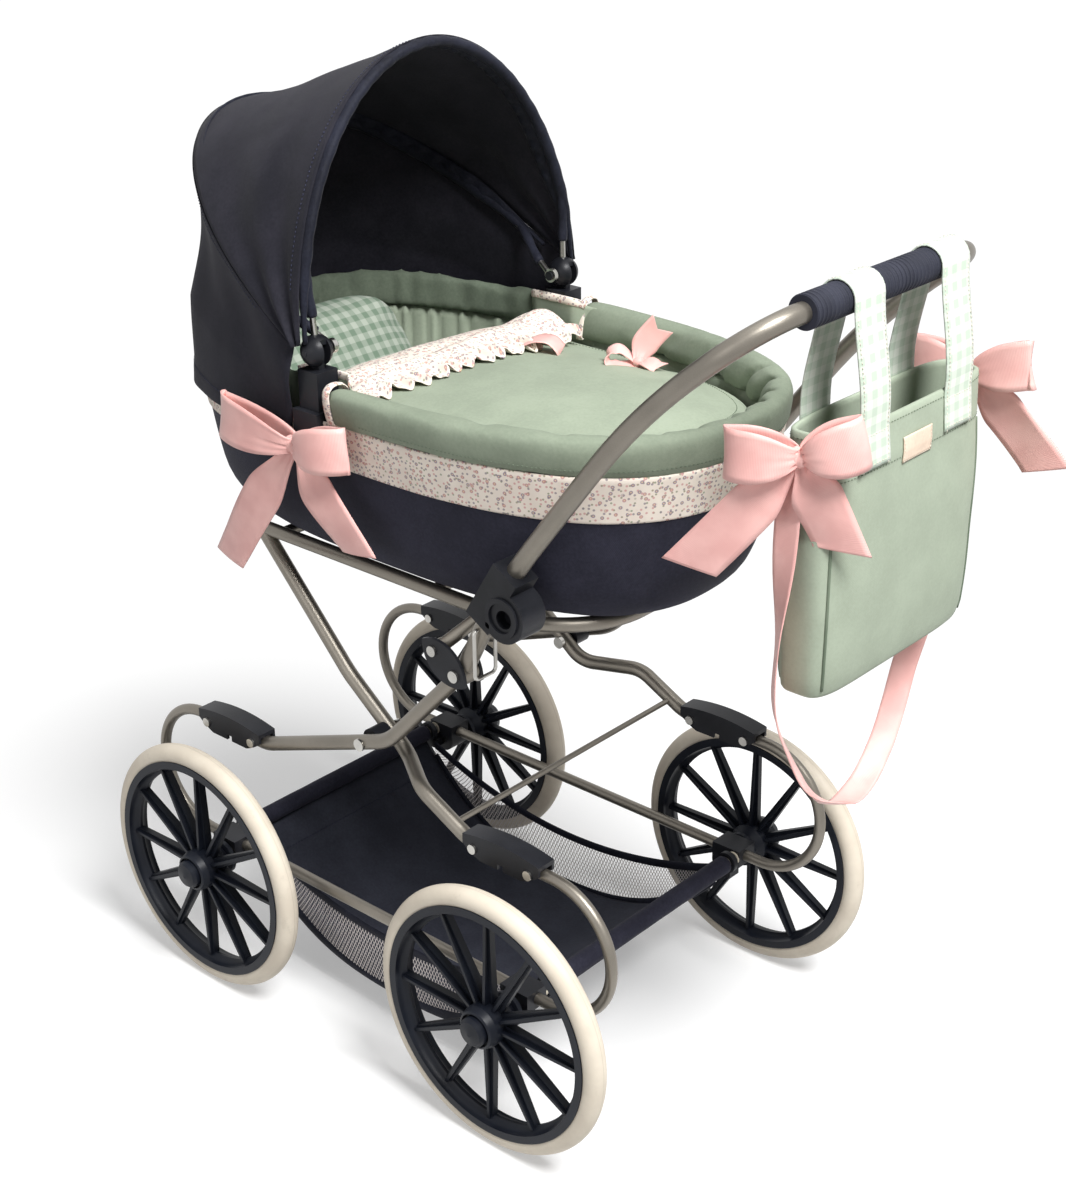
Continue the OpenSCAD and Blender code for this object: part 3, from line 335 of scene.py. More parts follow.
def makeFloral():
    f = Finish("floralCloth", Roughness=0.82, Sheen_Weight=0.1, Specular_IOR_Level=0.2)
    where = f.place()
    uv = f.cloth()
    across, along = f.axes(uv)[:2]

    def sprig(scale, low, high, seed):
        moved = f.node("ShaderNodeMapping", {"vector_type": "POINT"},
                       {"Vector": uv, "Location": (seed, seed * 0.7, 0.0)})
        cell = f.node("ShaderNodeTexVoronoi", {"voronoi_dimensions": "2D"},
                      {"Vector": moved, "Scale": scale, "Randomness": 0.85})
        colour = Wire(f.tree, cell.socket.node.outputs["Color"])
        far = Wire(f.tree, cell.socket.node.outputs["Distance"])
        pick, show = f.axes(colour)[:2]
        return 1 - far.step(low, high), pick, show

    big, bigPick, bigShow = sprig(150, 0.19, 0.26, 0.31)
    small, smallPick, smallShow = sprig(240, 0.18, 0.28, 1.7)
    leaf, leafPick, leafShow = sprig(190, 0.13, 0.2, 4.1)
    heart = sprig(150, 0.06, 0.11, 0.31)[0]
    soft = f.noise(where, 45, 3.0)
    ground = f.blend(soft.step(0.3, 0.7), tint(232, 220, 208), tint(242, 232, 220))
    petals = f.blend(bigPick.step(0.4, 0.6), tint(190, 138, 142), tint(140, 122, 142))
    dots = f.blend(smallPick.step(0.45, 0.55), tint(140, 128, 134), tint(208, 156, 150))
    leaves = f.blend(leafPick, tint(128, 146, 112), tint(146, 128, 96))
    colour = f.blend(leaf * leafShow.step(0.45, 0.5) * 0.75, ground, leaves)
    colour = f.blend(small * smallShow.step(0.35, 0.4) * 0.8, colour, dots)
    colour = f.blend(big * bigShow.step(0.3, 0.35) * 0.85, colour, petals)
    colour = f.blend(heart * bigShow.step(0.3, 0.35) * 0.9, colour, tint(232, 206, 160))
    f.to("Base Color", colour)
    yarn = across.wave(0.001) * along.wave(0.001)
    return f.bump(yarn * 0.0002 + soft * 0.0006, 0.22)


def makeRibbon():
    f = Finish("pinkRibbon", Sheen_Weight=0.12, Sheen_Roughness=0.3, Specular_IOR_Level=0.45)
    where = f.place()
    across, along = f.axes(f.cloth())[:2]
    ribs = along.wave(0.0011)
    soft = f.noise(where, 40, 3.0)
    tone = soft.step(0.3, 0.7) * 0.8 + ribs * 0.1
    f.to("Base Color", f.blend(tone, tint(230, 174, 168), tint(245, 195, 188)))
    f.to("Roughness", soft * 0.2 + 0.3)
    return f.bump(ribs * 0.00018 + soft * 0.0005, 0.25)


def makeNet():
    f = Finish("whiteNet", Roughness=0.6, Specular_IOR_Level=0.3)
    where = f.place()
    across, along = f.axes(f.cloth())[:2]
    cell = 0.0074
    first = (across + along * 0.6).wave(cell).math("ABSOLUTE")
    second = (across - along * 0.6).wave(cell).math("ABSOLUTE")
    thread = 1 - first.math("MINIMUM", second).step(0.32, 0.42)
    soft = f.noise(where, 70, 3.0)
    f.to("Base Color", f.blend(soft, tint(214, 205, 202), tint(240, 232, 229)))
    f.to("Alpha", thread)
    return f.bump(thread * 0.0003 + soft * 0.0003, 0.3)


finishes = {
    "navyPlastic": moulded("navyPlastic", tint(25, 29, 38), tint(15, 18, 26), 0.42, 0.25),
    "blackPlastic": moulded("blackPlastic", tint(38, 39, 44), tint(22, 23, 27), 0.38, 0.3),
    "steel": moulded("steel", tint(206, 204, 198), tint(160, 158, 154), 0.3, 0.12, 1.0),
    "foam": makeFoam(),
    "plug": moulded("creamPlug", tint(226, 218, 200), tint(200, 190, 170), 0.5, 0.2),
    "pewter": makePewter(),
    "tyre": makeTyre(),
    "navyCloth": fabric("navyCloth", tint(52, 52, 65), tint(37, 37, 48), 0.0013, True, 0.72, 0.03),
    "hoodCloth": fabric("hoodCloth", tint(46, 45, 53), tint(31, 31, 38), 0.0013, True, 0.72, 0.03),
    # navyBasketPaintedLight: a lighter copy of the navy cloth, painted light that stands in for fill light
    # reaching the basket under the cot
    "navyBasketPaintedLight": fabric("navyBasketPaintedLight", tint(66, 68, 79), tint(50, 52, 62), 0.0013, True, 0.75, 0.03),
    "navyTape": fabric("navyTape", tint(40, 42, 54), tint(22, 23, 31), 0.0009, False, 0.55, 0.04),
    "sage": fabric("sageCloth", tint(158, 168, 149), tint(144, 154, 136), 0.0012, False, 0.8, 0.06),
    # sageBagPaintedLight: a lighter copy of the sage cloth, painted light for the bag's brightly lit faces
    "sageBagPaintedLight": fabric("sageBagPaintedLight", tint(168, 179, 160), tint(156, 166, 148), 0.0012, False, 0.8, 0.06),
    # sageRimPaintedShade: a darker copy of the sage cloth, painted shade for the collar's overhanging outer
    # face
    "sageRimPaintedShade": fabric("sageRimPaintedShade", tint(142, 152, 134), tint(127, 137, 120), 0.0012, False, 0.82, 0.05, False),
    "sagePad": fabric("sagePad", tint(158, 168, 149), tint(144, 154, 136), 0.0012, False, 0.8, 0.06, False),
    "pale": fabric("palePad", tint(220, 226, 214), tint(198, 206, 193), 0.0012, False, 0.85, 0.05, False),
    # sagePaintedShade: a much darker copy of the sage cloth, painted shade for the end roll under the hood
    "sagePaintedShade": fabric("sagePaintedShade", tint(112, 122, 106), tint(94, 104, 90), 0.0012, False, 0.85, 0.03,
                        False),
    "gingham": makeGingham("ginghamCloth", tint(226, 230, 221), tint(190, 205, 188)),
    # ginghamPaintedShade: a darker copy of the gingham, painted shade for the pillow lying under the hood
    "ginghamPaintedShade": makeGingham("ginghamPaintedShade", tint(170, 177, 165), tint(108, 127, 109), False),
    "floral": makeFloral(),
    "ribbon": makeRibbon(),
    "net": makeNet(),
    "label": fabric("labelCloth", tint(234, 216, 196), tint(220, 198, 178), 0.0008, False, 0.8, 0.05),
    "greenThread": moulded("greenThread", tint(118, 130, 112), tint(92, 105, 88), 0.7, 0.2),
    "navyThread": moulded("navyThread", tint(52, 55, 76), tint(34, 37, 54), 0.7, 0.2),
    "creamThread": moulded("creamThread", tint(226, 218, 202), tint(200, 190, 174), 0.7, 0.2),
}
print("finishes made")

# Mesh building: rows of points in millimetres become a grid whose cloth map is in metres
def grid(across, along, point, ring=False):
    columns = across if ring else across + 1
    return [[point(i / across, j / along) for i in range(columns)] for j in range(along + 1)]


def gridMesh(name, rows, ring=False, flip=False):
    n, m = len(rows[0]), len(rows)
    mesh = bpy.data.meshes.new(name)
    points = [Vector(p) * 0.001 for row in rows for p in row]
    columns = n if ring else n - 1
    faces = []
    for j in range(m - 1):
        for i in range(columns):
            a, b = j * n + i, j * n + (i + 1) % n
            faces.append((a + n, b + n, b, a) if flip else (a, b, b + n, a + n))
    mesh.from_pydata(points, [], faces)
    us, vs = [0.0], [0.0]
    for i in range(columns):
        steps = [(points[j * n + (i + 1) % n] - points[j * n + i]).length for j in range(m)]
        us.append(us[-1] + sum(steps) / m)
    for j in range(m - 1):
        steps = [(points[(j + 1) * n + i] - points[j * n + i]).length for i in range(n)]
        vs.append(vs[-1] + sum(steps) / n)
    layer = mesh.uv_layers.new(name="cloth")
    place = 0
    for j in range(m - 1):
        for i in range(columns):
            corners = [(us[i], vs[j]), (us[i + 1], vs[j]), (us[i + 1], vs[j + 1]), (us[i], vs[j + 1])]
            for corner in (reversed(corners) if flip else corners):
                layer.data[place].uv = corner
                place += 1
    return mesh


def closed(mesh):
    work = bmesh.new()
    work.from_mesh(mesh)
    bmesh.ops.remove_doubles(work, verts=work.verts, dist=1e-6)
    edges = [e for e in work.edges if e.is_boundary]
    if edges:
        bmesh.ops.holes_fill(work, edges=edges, sides=0)
    bmesh.ops.recalc_face_normals(work, faces=work.faces)
    work.to_mesh(mesh)
    work.free()
    return mesh


def joined(name, meshes):
    whole = bmesh.new()
    for mesh in meshes:
        whole.from_mesh(mesh)
        bpy.data.meshes.remove(mesh)
    mesh = bpy.data.meshes.new(name)
    whole.to_mesh(mesh)
    whole.free()
    return mesh


def piece(name, mesh, finish, replaced=(), body="chassis"):
    made = bpy.data.objects.new(name, mesh)
    scene.collection.objects.link(made)
    mesh.materials.append(finishes[finish].material)
    for polygon in mesh.polygons:
        polygon.use_smooth = True
    if body:
        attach(made, body)
    if replaced:
        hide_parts(*replaced)
    return made


# An open sheet or sleeve, a ring of rows with both ends closed, and a tube along a path
def sewn(name, rows, finish, replaced=(), body="chassis", ring=False, flip=False):
    return piece(name, gridMesh(name, rows, ring, flip), finish, replaced, body)


def capped(name, rows, finish, replaced=(), body="chassis"):
    return piece(name, closed(gridMesh(name, rows, True)), finish, replaced, body)


def tube(name, path, radius, finish, body="chassis", sides=12, flat=1.0, hint=(0, 0, 1)):
    rows, last = [], len(path) - 1
    up = Vector(hint)
    for i, p in enumerate(path):
        v = (path[min(last, i + 1)] - path[max(0, i - 1)]).normalized()
        up = (up - v * up.dot(v)).normalized()
        other = v.cross(up)
        r = radius(i / last) if callable(radius) else radius
        turns = [2 * math.pi * k / sides for k in range(sides)]
        rows.append([p + up * r * math.cos(a) + other * r * flat * math.sin(a) for a in turns])
    return capped(name, rows, finish, (), body)


def settle(made):
    bpy.context.view_layer.update()
    shown = made.evaluated_get(bpy.context.evaluated_depsgraph_get())
    mesh = bpy.data.meshes.new_from_object(shown)
    made.modifiers.clear()
    made.data = mesh
    return made


def thicken(made, thick, offset=0.0, even=True):
    solid = made.modifiers.new("thick", "SOLIDIFY")
    solid.thickness = thick * 0.001
    solid.offset = offset
    solid.use_even_offset = even
    return settle(made)


# Padded pieces are filled as cloth under pressure, and no point moves further than the cap
filling = {"quality": 5, "mass": 0.25, "tension_stiffness": 14, "compression_stiffness": 14,
           "shear_stiffness": 6, "bending_stiffness": 0.4, "use_pressure": True}


def puff(made, voxel, pressure, cap, frames=20):
    shape = made.modifiers.new("even", "REMESH")
    shape.mode = "VOXEL"
    shape.voxel_size = voxel * 0.001
    settle(made)
    start = [v.co.copy() for v in made.data.vertices]
    cloth = made.modifiers.new("fill", "CLOTH")
    for key, value in filling.items():
        setattr(cloth.settings, key, value)
    cloth.settings.uniform_pressure_force = pressure
    cloth.settings.effector_weights.gravity = 0.0
    cloth.collision_settings.use_collision = False
    cloth.point_cache.frame_start = 1
    cloth.point_cache.frame_end = frames
    for number in range(1, frames + 1):
        scene.frame_set(number)
    settle(made)
    scene.frame_set(1)
    for v, was in zip(made.data.vertices, start):
        move = v.co - was
        if move.length > cap * 0.001:
            v.co = was + move.normalized() * cap * 0.001
    finer = made.modifiers.new("fine", "SUBSURF")
    finer.levels = 1
    finer.render_levels = 1
    settle(made)
    for polygon in made.data.polygons:
        polygon.use_smooth = True


def clothOf(made):
    return made


def nodesIn(tree, kinds):
    return {name: tree.nodes.new(kind) for name, kind in kinds.items()}


def connect(tree, node, links):
    for source, output, target, entry in links:
        tree.links.new(node[source].outputs[output], node[target].inputs[entry])


# Stitches: one node tree lays small threads along the edges of a line mesh
def makeStitchTree():
    tree = bpy.data.node_groups.new("stitchRow", "GeometryNodeTree")
    face = tree.interface
    face.new_socket("Geometry", in_out="INPUT", socket_type="NodeSocketGeometry")
    for name, value in (("Pitch", 0.0035), ("Thread Length", 0.0024), ("Thread Radius", 0.0004)):
        face.new_socket(name, in_out="INPUT", socket_type="NodeSocketFloat").default_value = value
    face.new_socket("Thread Finish", in_out="INPUT", socket_type="NodeSocketMaterial")
    face.new_socket("Geometry", in_out="OUTPUT", socket_type="NodeSocketGeometry")
    node = nodesIn(tree, {
        "given": "NodeGroupInput", "made": "NodeGroupOutput", "curve": "GeometryNodeMeshToCurve",
        "spaced": "GeometryNodeResampleCurve", "put": "GeometryNodeInstanceOnPoints",
        "ball": "GeometryNodeMeshIcoSphere", "size": "ShaderNodeCombineXYZ", "half": "ShaderNodeMath",
        "tangent": "GeometryNodeInputTangent", "turn": "FunctionNodeAlignRotationToVector",
        "real": "GeometryNodeRealizeInstances", "smooth": "GeometryNodeSetShadeSmooth",
        "paint": "GeometryNodeSetMaterial"})
    node["spaced"].mode = "LENGTH"
    node["ball"].inputs["Radius"].default_value = 1.0
    node["ball"].inputs["Subdivisions"].default_value = 1
    node["turn"].axis = "X"
    node["half"].operation = "MULTIPLY"
    node["half"].inputs[1].default_value = 0.5
    connect(tree, node, [
        ("given", "Geometry", "curve", 0), ("curve", 0, "spaced", "Curve"),
        ("given", "Pitch", "spaced", "Length"),
        ("spaced", 0, "put", "Points"), ("ball", 0, "put", "Instance"), ("tangent", 0, "turn", "Vector"),
        ("turn", 0, "put", "Rotation"), ("given", "Thread Length", "half", 0), ("half", 0, "size", 0),
        ("given", "Thread Radius", "size", 1), ("given", "Thread Radius", "size", 2),
        ("size", 0, "put", "Scale"), ("put", 0, "real", 0), ("real", 0, "smooth", 0),
        ("smooth", 0, "paint", 0),
        ("given", "Thread Finish", "paint", "Material"), ("paint", 0, "made", 0)])
    return tree


stitchTree = makeStitchTree()
stitchSocket = {s.name: s.identifier for s in stitchTree.interface.items_tree if s.in_out == "INPUT"}


def stitches(name, lines, finish, body="chassis", pitch=3.6, long=2.5, radius=0.42):
    mesh = bpy.data.meshes.new(name)
    points, edges = [], []
    for line in lines:
        start = len(points)
        points += [p * 0.001 for p in line]
        edges += [(start + k, start + k + 1) for k in range(len(line) - 1)]
    mesh.from_pydata(points, edges, [])
    made = bpy.data.objects.new(name, mesh)
    scene.collection.objects.link(made)
    rows = made.modifiers.new("rows", "NODES")
    rows.node_group = stitchTree
    rows[stitchSocket["Pitch"]] = pitch * 0.001
    rows[stitchSocket["Thread Length"]] = long * 0.001
    rows[stitchSocket["Thread Radius"]] = radius * 0.001
    rows[stitchSocket["Thread Finish"]] = finishes[finish].material
    settle(made)
    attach(made, body)


def surfaceOf(made):
    mesh = made.data
    return BVHTree.FromPolygons([v.co for v in mesh.vertices], [list(p.vertices) for p in mesh.polygons])


def dropOn(tree, x, y, lift):
    hit = tree.ray_cast(Vector((x * 0.001, y * 0.001, 1.2)), Vector((0, 0, -1)))[0]
    return None if hit is None else Vector((x, y, hit.z * 1000 + lift))


def pressOn(tree, point, lift):
    spot, normal = tree.find_nearest(Vector(point) * 0.001)[:2]
    return (spot + normal * lift * 0.001) * 1000


# Camera, at the photograph's angle: focal length and height are in the photo's pixels
photo = {"focal": 1989.18, "tall": 1200, "sensor": 36.0, "at": (1.087867, -1.143296, 1.112235)}
camera = bpy.data.objects.new("camera", bpy.data.cameras.new("camera"))
scene.collection.objects.link(camera)
scene.camera = camera
camera.data.sensor_fit = "AUTO"
camera.data.sensor_width = photo["sensor"]
camera.data.lens = photo["sensor"] * photo["focal"] / photo["tall"]
camera.data.clip_end = 60.0
sight = Matrix((
    (0.748125, -0.274263, 0.604225, 0),
    (0.663505, 0.320670, -0.675968, 0),
    (-0.008364, 0.906615, 0.421876, 0),
    (0, 0, 0, 1)))
camera.matrix_world = Matrix.Translation(photo["at"]) @ sight
print("camera set")


def smoothLine(points, steps):
    line, last = [], len(points) - 1
    for k in range(last):
        a, b = Vector(points[max(0, k - 1)]), Vector(points[k])
        c, d = Vector(points[k + 1]), Vector(points[min(last, k + 2)])
        line += [throughPoints(a, b, c, d, s / steps) for s in range(steps)]
    return line + [Vector(points[-1])]


def ribbonMesh(name, path, across, widths, thick=0.9, crease=None, skew=0.0, notch=0.0, columns=9):
    last = len(path) - 1
    across = across if isinstance(across, list) else [Vector(across)] * len(path)
    widths = widths if isinstance(widths, list) else [widths] * len(path)
    rows = []
    for i, p in enumerate(path):
        v = (path[min(last, i + 1)] - path[max(0, i - 1)]).normalized()
        w = (across[i] - v * v.dot(across[i])).normalized()
        n = v.cross(w)
        row = []
        for k in range(columns):
            s = mix(-1, 1, k / (columns - 1))
            off = crease(i / last, s) if crease else 0.0
            slide = (skew * s + notch * (abs(s) - 0.5)) * widths[i] * 0.5 * ease((i / last - 0.8) / 0.2)
            row.append(p + w * s * widths[i] / 2 + n * off + v * slide)
        rows.append(row)
    made = bpy.data.objects.new(name, gridMesh(name, rows))
    scene.collection.objects.link(made)
    thicken(made, thick, 0.0, False)
    mesh = made.data
    bpy.data.objects.remove(made)
    return mesh


# Shoulder ribbon: the one free cord, a flat ribbon that hangs under the bag.
# Its route is across from the bag's near edge, down from its top and out from its middle.
bagSize = {"x": 386.0, "y": 22.0, "gripZ": 734.25, "top": 646.25, "width": 208.0, "high": 200.0, "deep": 54.0}
shoulder = {
    "width": 20.0, "wave": 0.8,
    "route": [(-5, 28, -6), (-8, 80, -6), (-11, 150, -6), (-9, 204, -8), (10, 246, -10), (43, 294, -12),
              (90, 333, -14), (128, 333, -16), (158, 310, -18), (177, 282, -20), (193, 252, -22),
              (215, 200, -20), (214, 140, -16), (212, 80, -10), (213, 28, -6)],
    "across": ([(1, 0, 0)] * 2 + [(0.67, -0.74, 0)] * 4 + [(0.75, 0.66, 0)] * 5
               + [(0.95, 0.3, 0)] + [(1, 0, 0)] * 3),
}
nearEdge = bagSize["y"] - bagSize["width"] / 2
routeLine = smoothLine([(bagSize["x"] + out, nearEdge + side, bagSize["top"] - down)
                        for side, down, out in shoulder["route"]], 6)
ribbonPiece = piece("shoulderRibbon", ribbonMesh(
    "shoulderRibbon", routeLine, smoothLine(shoulder["across"], 6), shoulder["width"],
    crease=lambda t, s: shoulder["wave"] * s * s * math.sin(9 * t)), "ribbon", ("shoulder_ribbon",), "bag")
routeLength = sum((routeLine[k + 1] - routeLine[k]).length for k in range(len(routeLine) - 1)) * 0.001
tuple(routeLine[0] * 0.001)
[tuple(p * 0.001) for p in routeLine]
print("shoulder ribbon made")

# Rigid parts keep their shapes and get their finishes
corners = ["hood_near", "hood_far", "handle_near", "handle_far"]
byNode = {
    "navyPlastic": ["wheel_" + c for c in corners],
    "tyre": ["tyre_" + c for c in corners],
    "blackPlastic": ["axle_bracket_" + c for c in corners] + ["clip_" + c for c in corners] + [
        "crossing_spacers", "knuckle_near", "knuckle_far", "hinge_housing_near", "hinge_housing_far",
        "hood_mount_near", "hood_mount_far", "hood_balls"],
    "steel": ["stub_axles", "clip_rivets", "crossing_bolts", "knuckle_pins", "bail_near",
              "bail_far", "front_bow", "middle_bow"],
    "pewter": ["side_rail_near", "side_rail_far", "front_leg_near", "front_leg_far", "rear_leg_near",
               "rear_leg_far", "cot_frame", "cross_rod", "handle_tube", "basket_bars"],
    "foam": ["grip"],
}
for finish, nodes in byNode.items():
    for name in nodes:
        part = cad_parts[name]
        part = part if isinstance(part, bpy.types.Object) else bpy.data.objects[name]
        if not part.material_slots:
            part.data.materials.append(finishes[finish].material)
        for spot in part.material_slots:
            spot.material = finishes[finish].material
print("rigid parts finished")

# Hood cloth, folded along its own outward direction
hoodFolds = {"ripple": 5.4, "fine": 0.8, "fan": 3.4, "drape": 2.4, "hem": 0.9, "seam": 0.8, "gather": 0.5}
hoodInside = Vector((cot["mountX"] - 90, 0, 620))


def clothRows(point, across, along, fold):
    def lifted(u, v):
        p = point(u, v)
        du = point(min(1, u + 0.01), v) - point(max(0, u - 0.01), v)
        dv = point(u, min(1, v + 0.01)) - point(u, max(0, v - 0.01))
        n = du.cross(dv).normalized()
        return p + (n if n.dot(p - hoodInside) >= 0 else -n) * fold(u, v, p)

    return grid(across, along, lifted)


def topFold(u, v, p):
    side = abs(cosDeg(180 * u)) ** 3
    fan = math.sin(2 * math.pi * (2.2 * v + 0.15 * math.sin(5 * u)))
    broad = hoodFolds["ripple"] * ripple(p.x, p.y, p.z, 0.012, 3.0) * (0.6 + 0.4 * side)
    fine = hoodFolds["fine"] * ripple(p.x, p.y, p.z, 0.04, 8.0)
    return sinDeg(180 * v) * (hoodFolds["fan"] * side * fan + broad + fine)


def rearFold(u, v, p):
    side = abs(cosDeg(180 * u)) ** 2
    free = math.sin(math.pi * min(1, v * 1.04))
    hem = hoodFolds["hem"] * ease((v - 0.91) / 0.02)
    seam = hoodFolds["seam"] * math.exp(-((u - 0.5) / 0.006) ** 2)
    drape = hoodFolds["drape"] * math.sin(2 * math.pi * (7 * u + 0.6 * v)) * (0.4 + side) * (1 - v)
    broad = hoodFolds["ripple"] * ripple(p.x, p.y, p.z, 0.011, 5.0)
    fine = hoodFolds["fine"] * ripple(p.x, p.y, p.z, 0.035, 1.0)
    gather = hoodFolds["gather"] * ease(v * 3 - 2) * math.sin(60 * u)
    return free * (drape + broad + fine) + seam + hem + gather


hoodTop = sewn("hoodTopCloth", clothRows(hoodPoint, 110, 30, topFold), "hoodCloth", ("hood_top",), None)
hoodRear = sewn("hoodRearCloth", clothRows(rearPoint, 120, 30, rearFold), "hoodCloth", ("hood_rear",), None)
thicken(hoodTop, 1.0)
thicken(hoodRear, 1.0)
clothOf(hoodTop)
clothOf(hoodRear)
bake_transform(hoodTop)
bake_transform(hoodRear)


# Sleeves round the bows, slimmer towards the pivots so that they clear each other when the hood folds
def bowBinding(name, bow, radius, inward, first, steps=150):
    def girth(t):
        pucker = 0.35 * math.sin(t * 190) + 0.6 * noise.noise(Vector((t * 42, 0.3, bow["lean"])))
        slim = 0.4 + 0.6 * ease((min(t, 1 - t) - 0.01) / 0.09)
        return (radius + pucker * 0.8) * slim

    path = [bowEdge(mix(first, 1 - first, k / steps), bow, inward) for k in range(steps + 1)]
    tube(name, path, girth, "navyTape", bow["body"], flat=0.8, hint=(1, 0, 0))


def legSleeve(name, bow, half, high, foot, footHigh, low):
    start = math.degrees(math.asin(footHigh / high))
    for side, word in nearFar:
        path = []
        for k in range(60):
            a = mix(start, 40, k / 59)
            s = high * sinDeg(a)
            if low < s < 105:
                spread = mix(foot / cosDeg(start), half, ease((s - footHigh) / 70))
                path.append(leaned(side * spread * cosDeg(a), s, bow["lean"]))
        tube(name + word, path, lambda t: 4.1 + 0.3 * math.sin(t * 23), "navyTape", bow["body"],
             hint=(1, 0, 0))


def channel(name, bow, near, far, inward, first):
    facing = Vector((cosDeg(bow["lean"]), 0, sinDeg(bow["lean"])))
    middle = leaned(0, bow["high"] * 0.3, bow["lean"])

    def point(t, w):
        u = mix(first, 1 - first, t)
        slim = ease((min(u, 1 - u) - 0.015) / 0.13)
        p = bowEdge(u, bow, inward) + facing * mix(near, far, w) * (0.06 + 0.94 * slim)
        pucker = math.sin(u * 250 + 1.4 * math.sin(u * 31)) * sinDeg(180 * w)
        return p + (middle - p).normalized() * (3.2 * sinDeg(180 * w) + 1.3 * pucker) * slim

    made = sewn(name, grid(170, 8, point), "navyTape", (), bow["body"])
    thicken(made, 0.7)
    clothOf(made)


def hoodLine(tree, point, first=14, last=206):
    return [[pressOn(tree, point(k / 220), 0.25) for k in range(first, last + 1)]]


bowBinding("hoodFrontBinding", frontBow, radius=5.6, inward=5.1, first=0.0)
bowBinding("hoodMiddleSleeve", middleBow, radius=5.0, inward=6.7, first=0.03)
legSleeve("hoodFrontLeg", frontBow, half=157.9, high=213.9, foot=147, footHigh=8, low=27)
legSleeve("hoodMiddleLeg", middleBow, half=156.3, high=274.3, foot=131, footHigh=5, low=15)
channel("hoodFrontChannel", frontBow, near=-4, far=-19, inward=6.5, first=0.015)
channel("hoodMiddleChannel", middleBow, near=-4, far=12, inward=6.0, first=0.03)
frontLine = hoodLine(surfaceOf(hoodTop), lambda u: bowEdge(u, frontBow, -3) - Vector((10, 0, 1)))
rearTree = surfaceOf(hoodRear)
middleLine = hoodLine(rearTree, lambda u: rearPoint(u, 0.055, -3))
hemLine = hoodLine(rearTree, lambda u: rearPoint(u, 0.905, -3), 2, 218)
stitches("hoodFrontStitches", frontLine, "navyThread", "hood_front")
stitches("hoodMiddleStitches", middleLine, "navyThread", "hood_middle")
stitches("hoodHemStitches", hemLine, "navyThread")
print("hood made")


# Cot: outer cloth, printed band and lining, as rows round the wall at a height and an inset
def wallRow(z, inset, steps, ruffle=None):
    row = []
    for i in range(steps):
        a = 360 * i / steps
        x, y = plan(a, inset)
        off = ruffle(a, x, y, z) if ruffle else 0.0
        out = Vector(plan(a, inset - 1)) - Vector((x, y))
        row.append(Vector((x + out.x * off, y + out.y * off, z)))
    return row


def bothSides(a, at, wide):
    return math.exp(-(((a + at + 180) % 360 - 180) / wide) ** 2) + math.exp(-((a - at) / wide) ** 2)


def shellFold(a, x, y, z):
    high = (z - cot["floor"]) / (cot["top"] - cot["floor"])
    pull = math.sin((x * 0.5 + z * 1.1) * 0.16) * bothSides(a, 28, 16) * (1 - high)
    return 1.1 * pull + 0.9 * ripple(x, y, z, 0.012, 2.0) * ease(high * 4) - 0.9 * bothSides(a, 24, 0.5)


def bandFold(a, x, y, z):
    return 0.9 + 0.5 * ripple(x, y, z * 0.2, 0.03, 7.0)


def liningFold(a, x, y, z):
    end = ease((20 - x) / 90)
    gather = math.sin(a * 0.92) * math.sin(a * 2.3 + 1.0)
    return -(1.0 + end * 2.6 * gather * ease((z - 480) / 60)) + 0.8 * ripple(x, y, z, 0.02, 4.0)


cotRows = {
    "under": (140, 110, 80, 60),
    "wall": (0, 2, 5, 9, 14, 20, 27, 35, 44, 54, 65, 77, 90, 103, 117, 131),
    "edge": (1.5, 6, 10),
    "inside": ((570, 11), (540, 16), (505, 24), (480, 34), (466, 48)),
    "band": (546.5, 548, 552, 558, 564, 570, 576, 580, 583.2),
    "lining": ((583.4, 4), (584.5, 8), (583, 13), (575, 14), (562, 15.5), (548, 17.5), (530, 21),
               (512, 26), (496, 32), (484, 38)),
}
shellRows = [wallRow(cot["floor"], inset, 240) for inset in cotRows["under"]]
shellRows += [wallRow(cot["floor"] + h, wallInset(h) - 0.2, 240, shellFold) for h in cotRows["wall"]]
shellRows += [wallRow(cot["top"] + 0.1, inset, 240) for inset in cotRows["edge"]]
shellRows += [wallRow(z, inset, 240) for z, inset in cotRows["inside"]]
capped("cotShell", shellRows, "navyCloth", ("cot_body",))
bandRows = [wallRow(z, wallInset(z - cot["floor"]), 300, bandFold) for z in cotRows["band"]]
cotBand = sewn("cotBand", bandRows + [wallRow(584.6, 0.6, 300, bandFold)], "floral", ring=True)
thicken(cotBand, 0.8)
clothOf(cotBand)
liningRows = [wallRow(z, inset, 300, liningFold) for z, inset in cotRows["lining"]]
cotLining = sewn("cotLining", liningRows, "sage", ring=True)
thicken(cotLining, 1.0, -1.0)
clothOf(cotLining)

# Section of the padded collar: shares of its half thickness outwards and of its height
rollSection = [(1, 0.62), (0.96, 0.84), (0.65, 0.97), (0.22, 1), (-0.26, 0.95), (-0.57, 0.81),
               (-0.74, 0.59), (-0.91, 0.31), (-1, 0), (-0.3, 0), (0.57, 0), (0.87, 0.28)]
# Pleats where the collar's cloth is taken in round the handle end: angle, half width in degrees, depth
pleats = [(-70, 2.4, 3.0), (-52, 2.0, 4.6), (-38, 1.8, 5.6), (-27, 1.7, 6.2), (-15, 1.5, 5.2), (-4, 1.4, 6.4),
          (5, 1.2, 4.8), (14, 1.6, 6.8), (23, 1.4, 5.2), (34, 1.8, 6.6), (44, 1.6, 4.6),
          (57, 2.2, 5.4), (76, 2.6, 3.2)]


def sectionAt(turn):
    k, t = int(turn * 12) % 12, turn * 12 % 1
    p = throughPoints(*(Vector(rollSection[(k + n) % 12]) for n in (-1, 0, 1, 2)), t)
    return p.x, max(0.0, p.y)


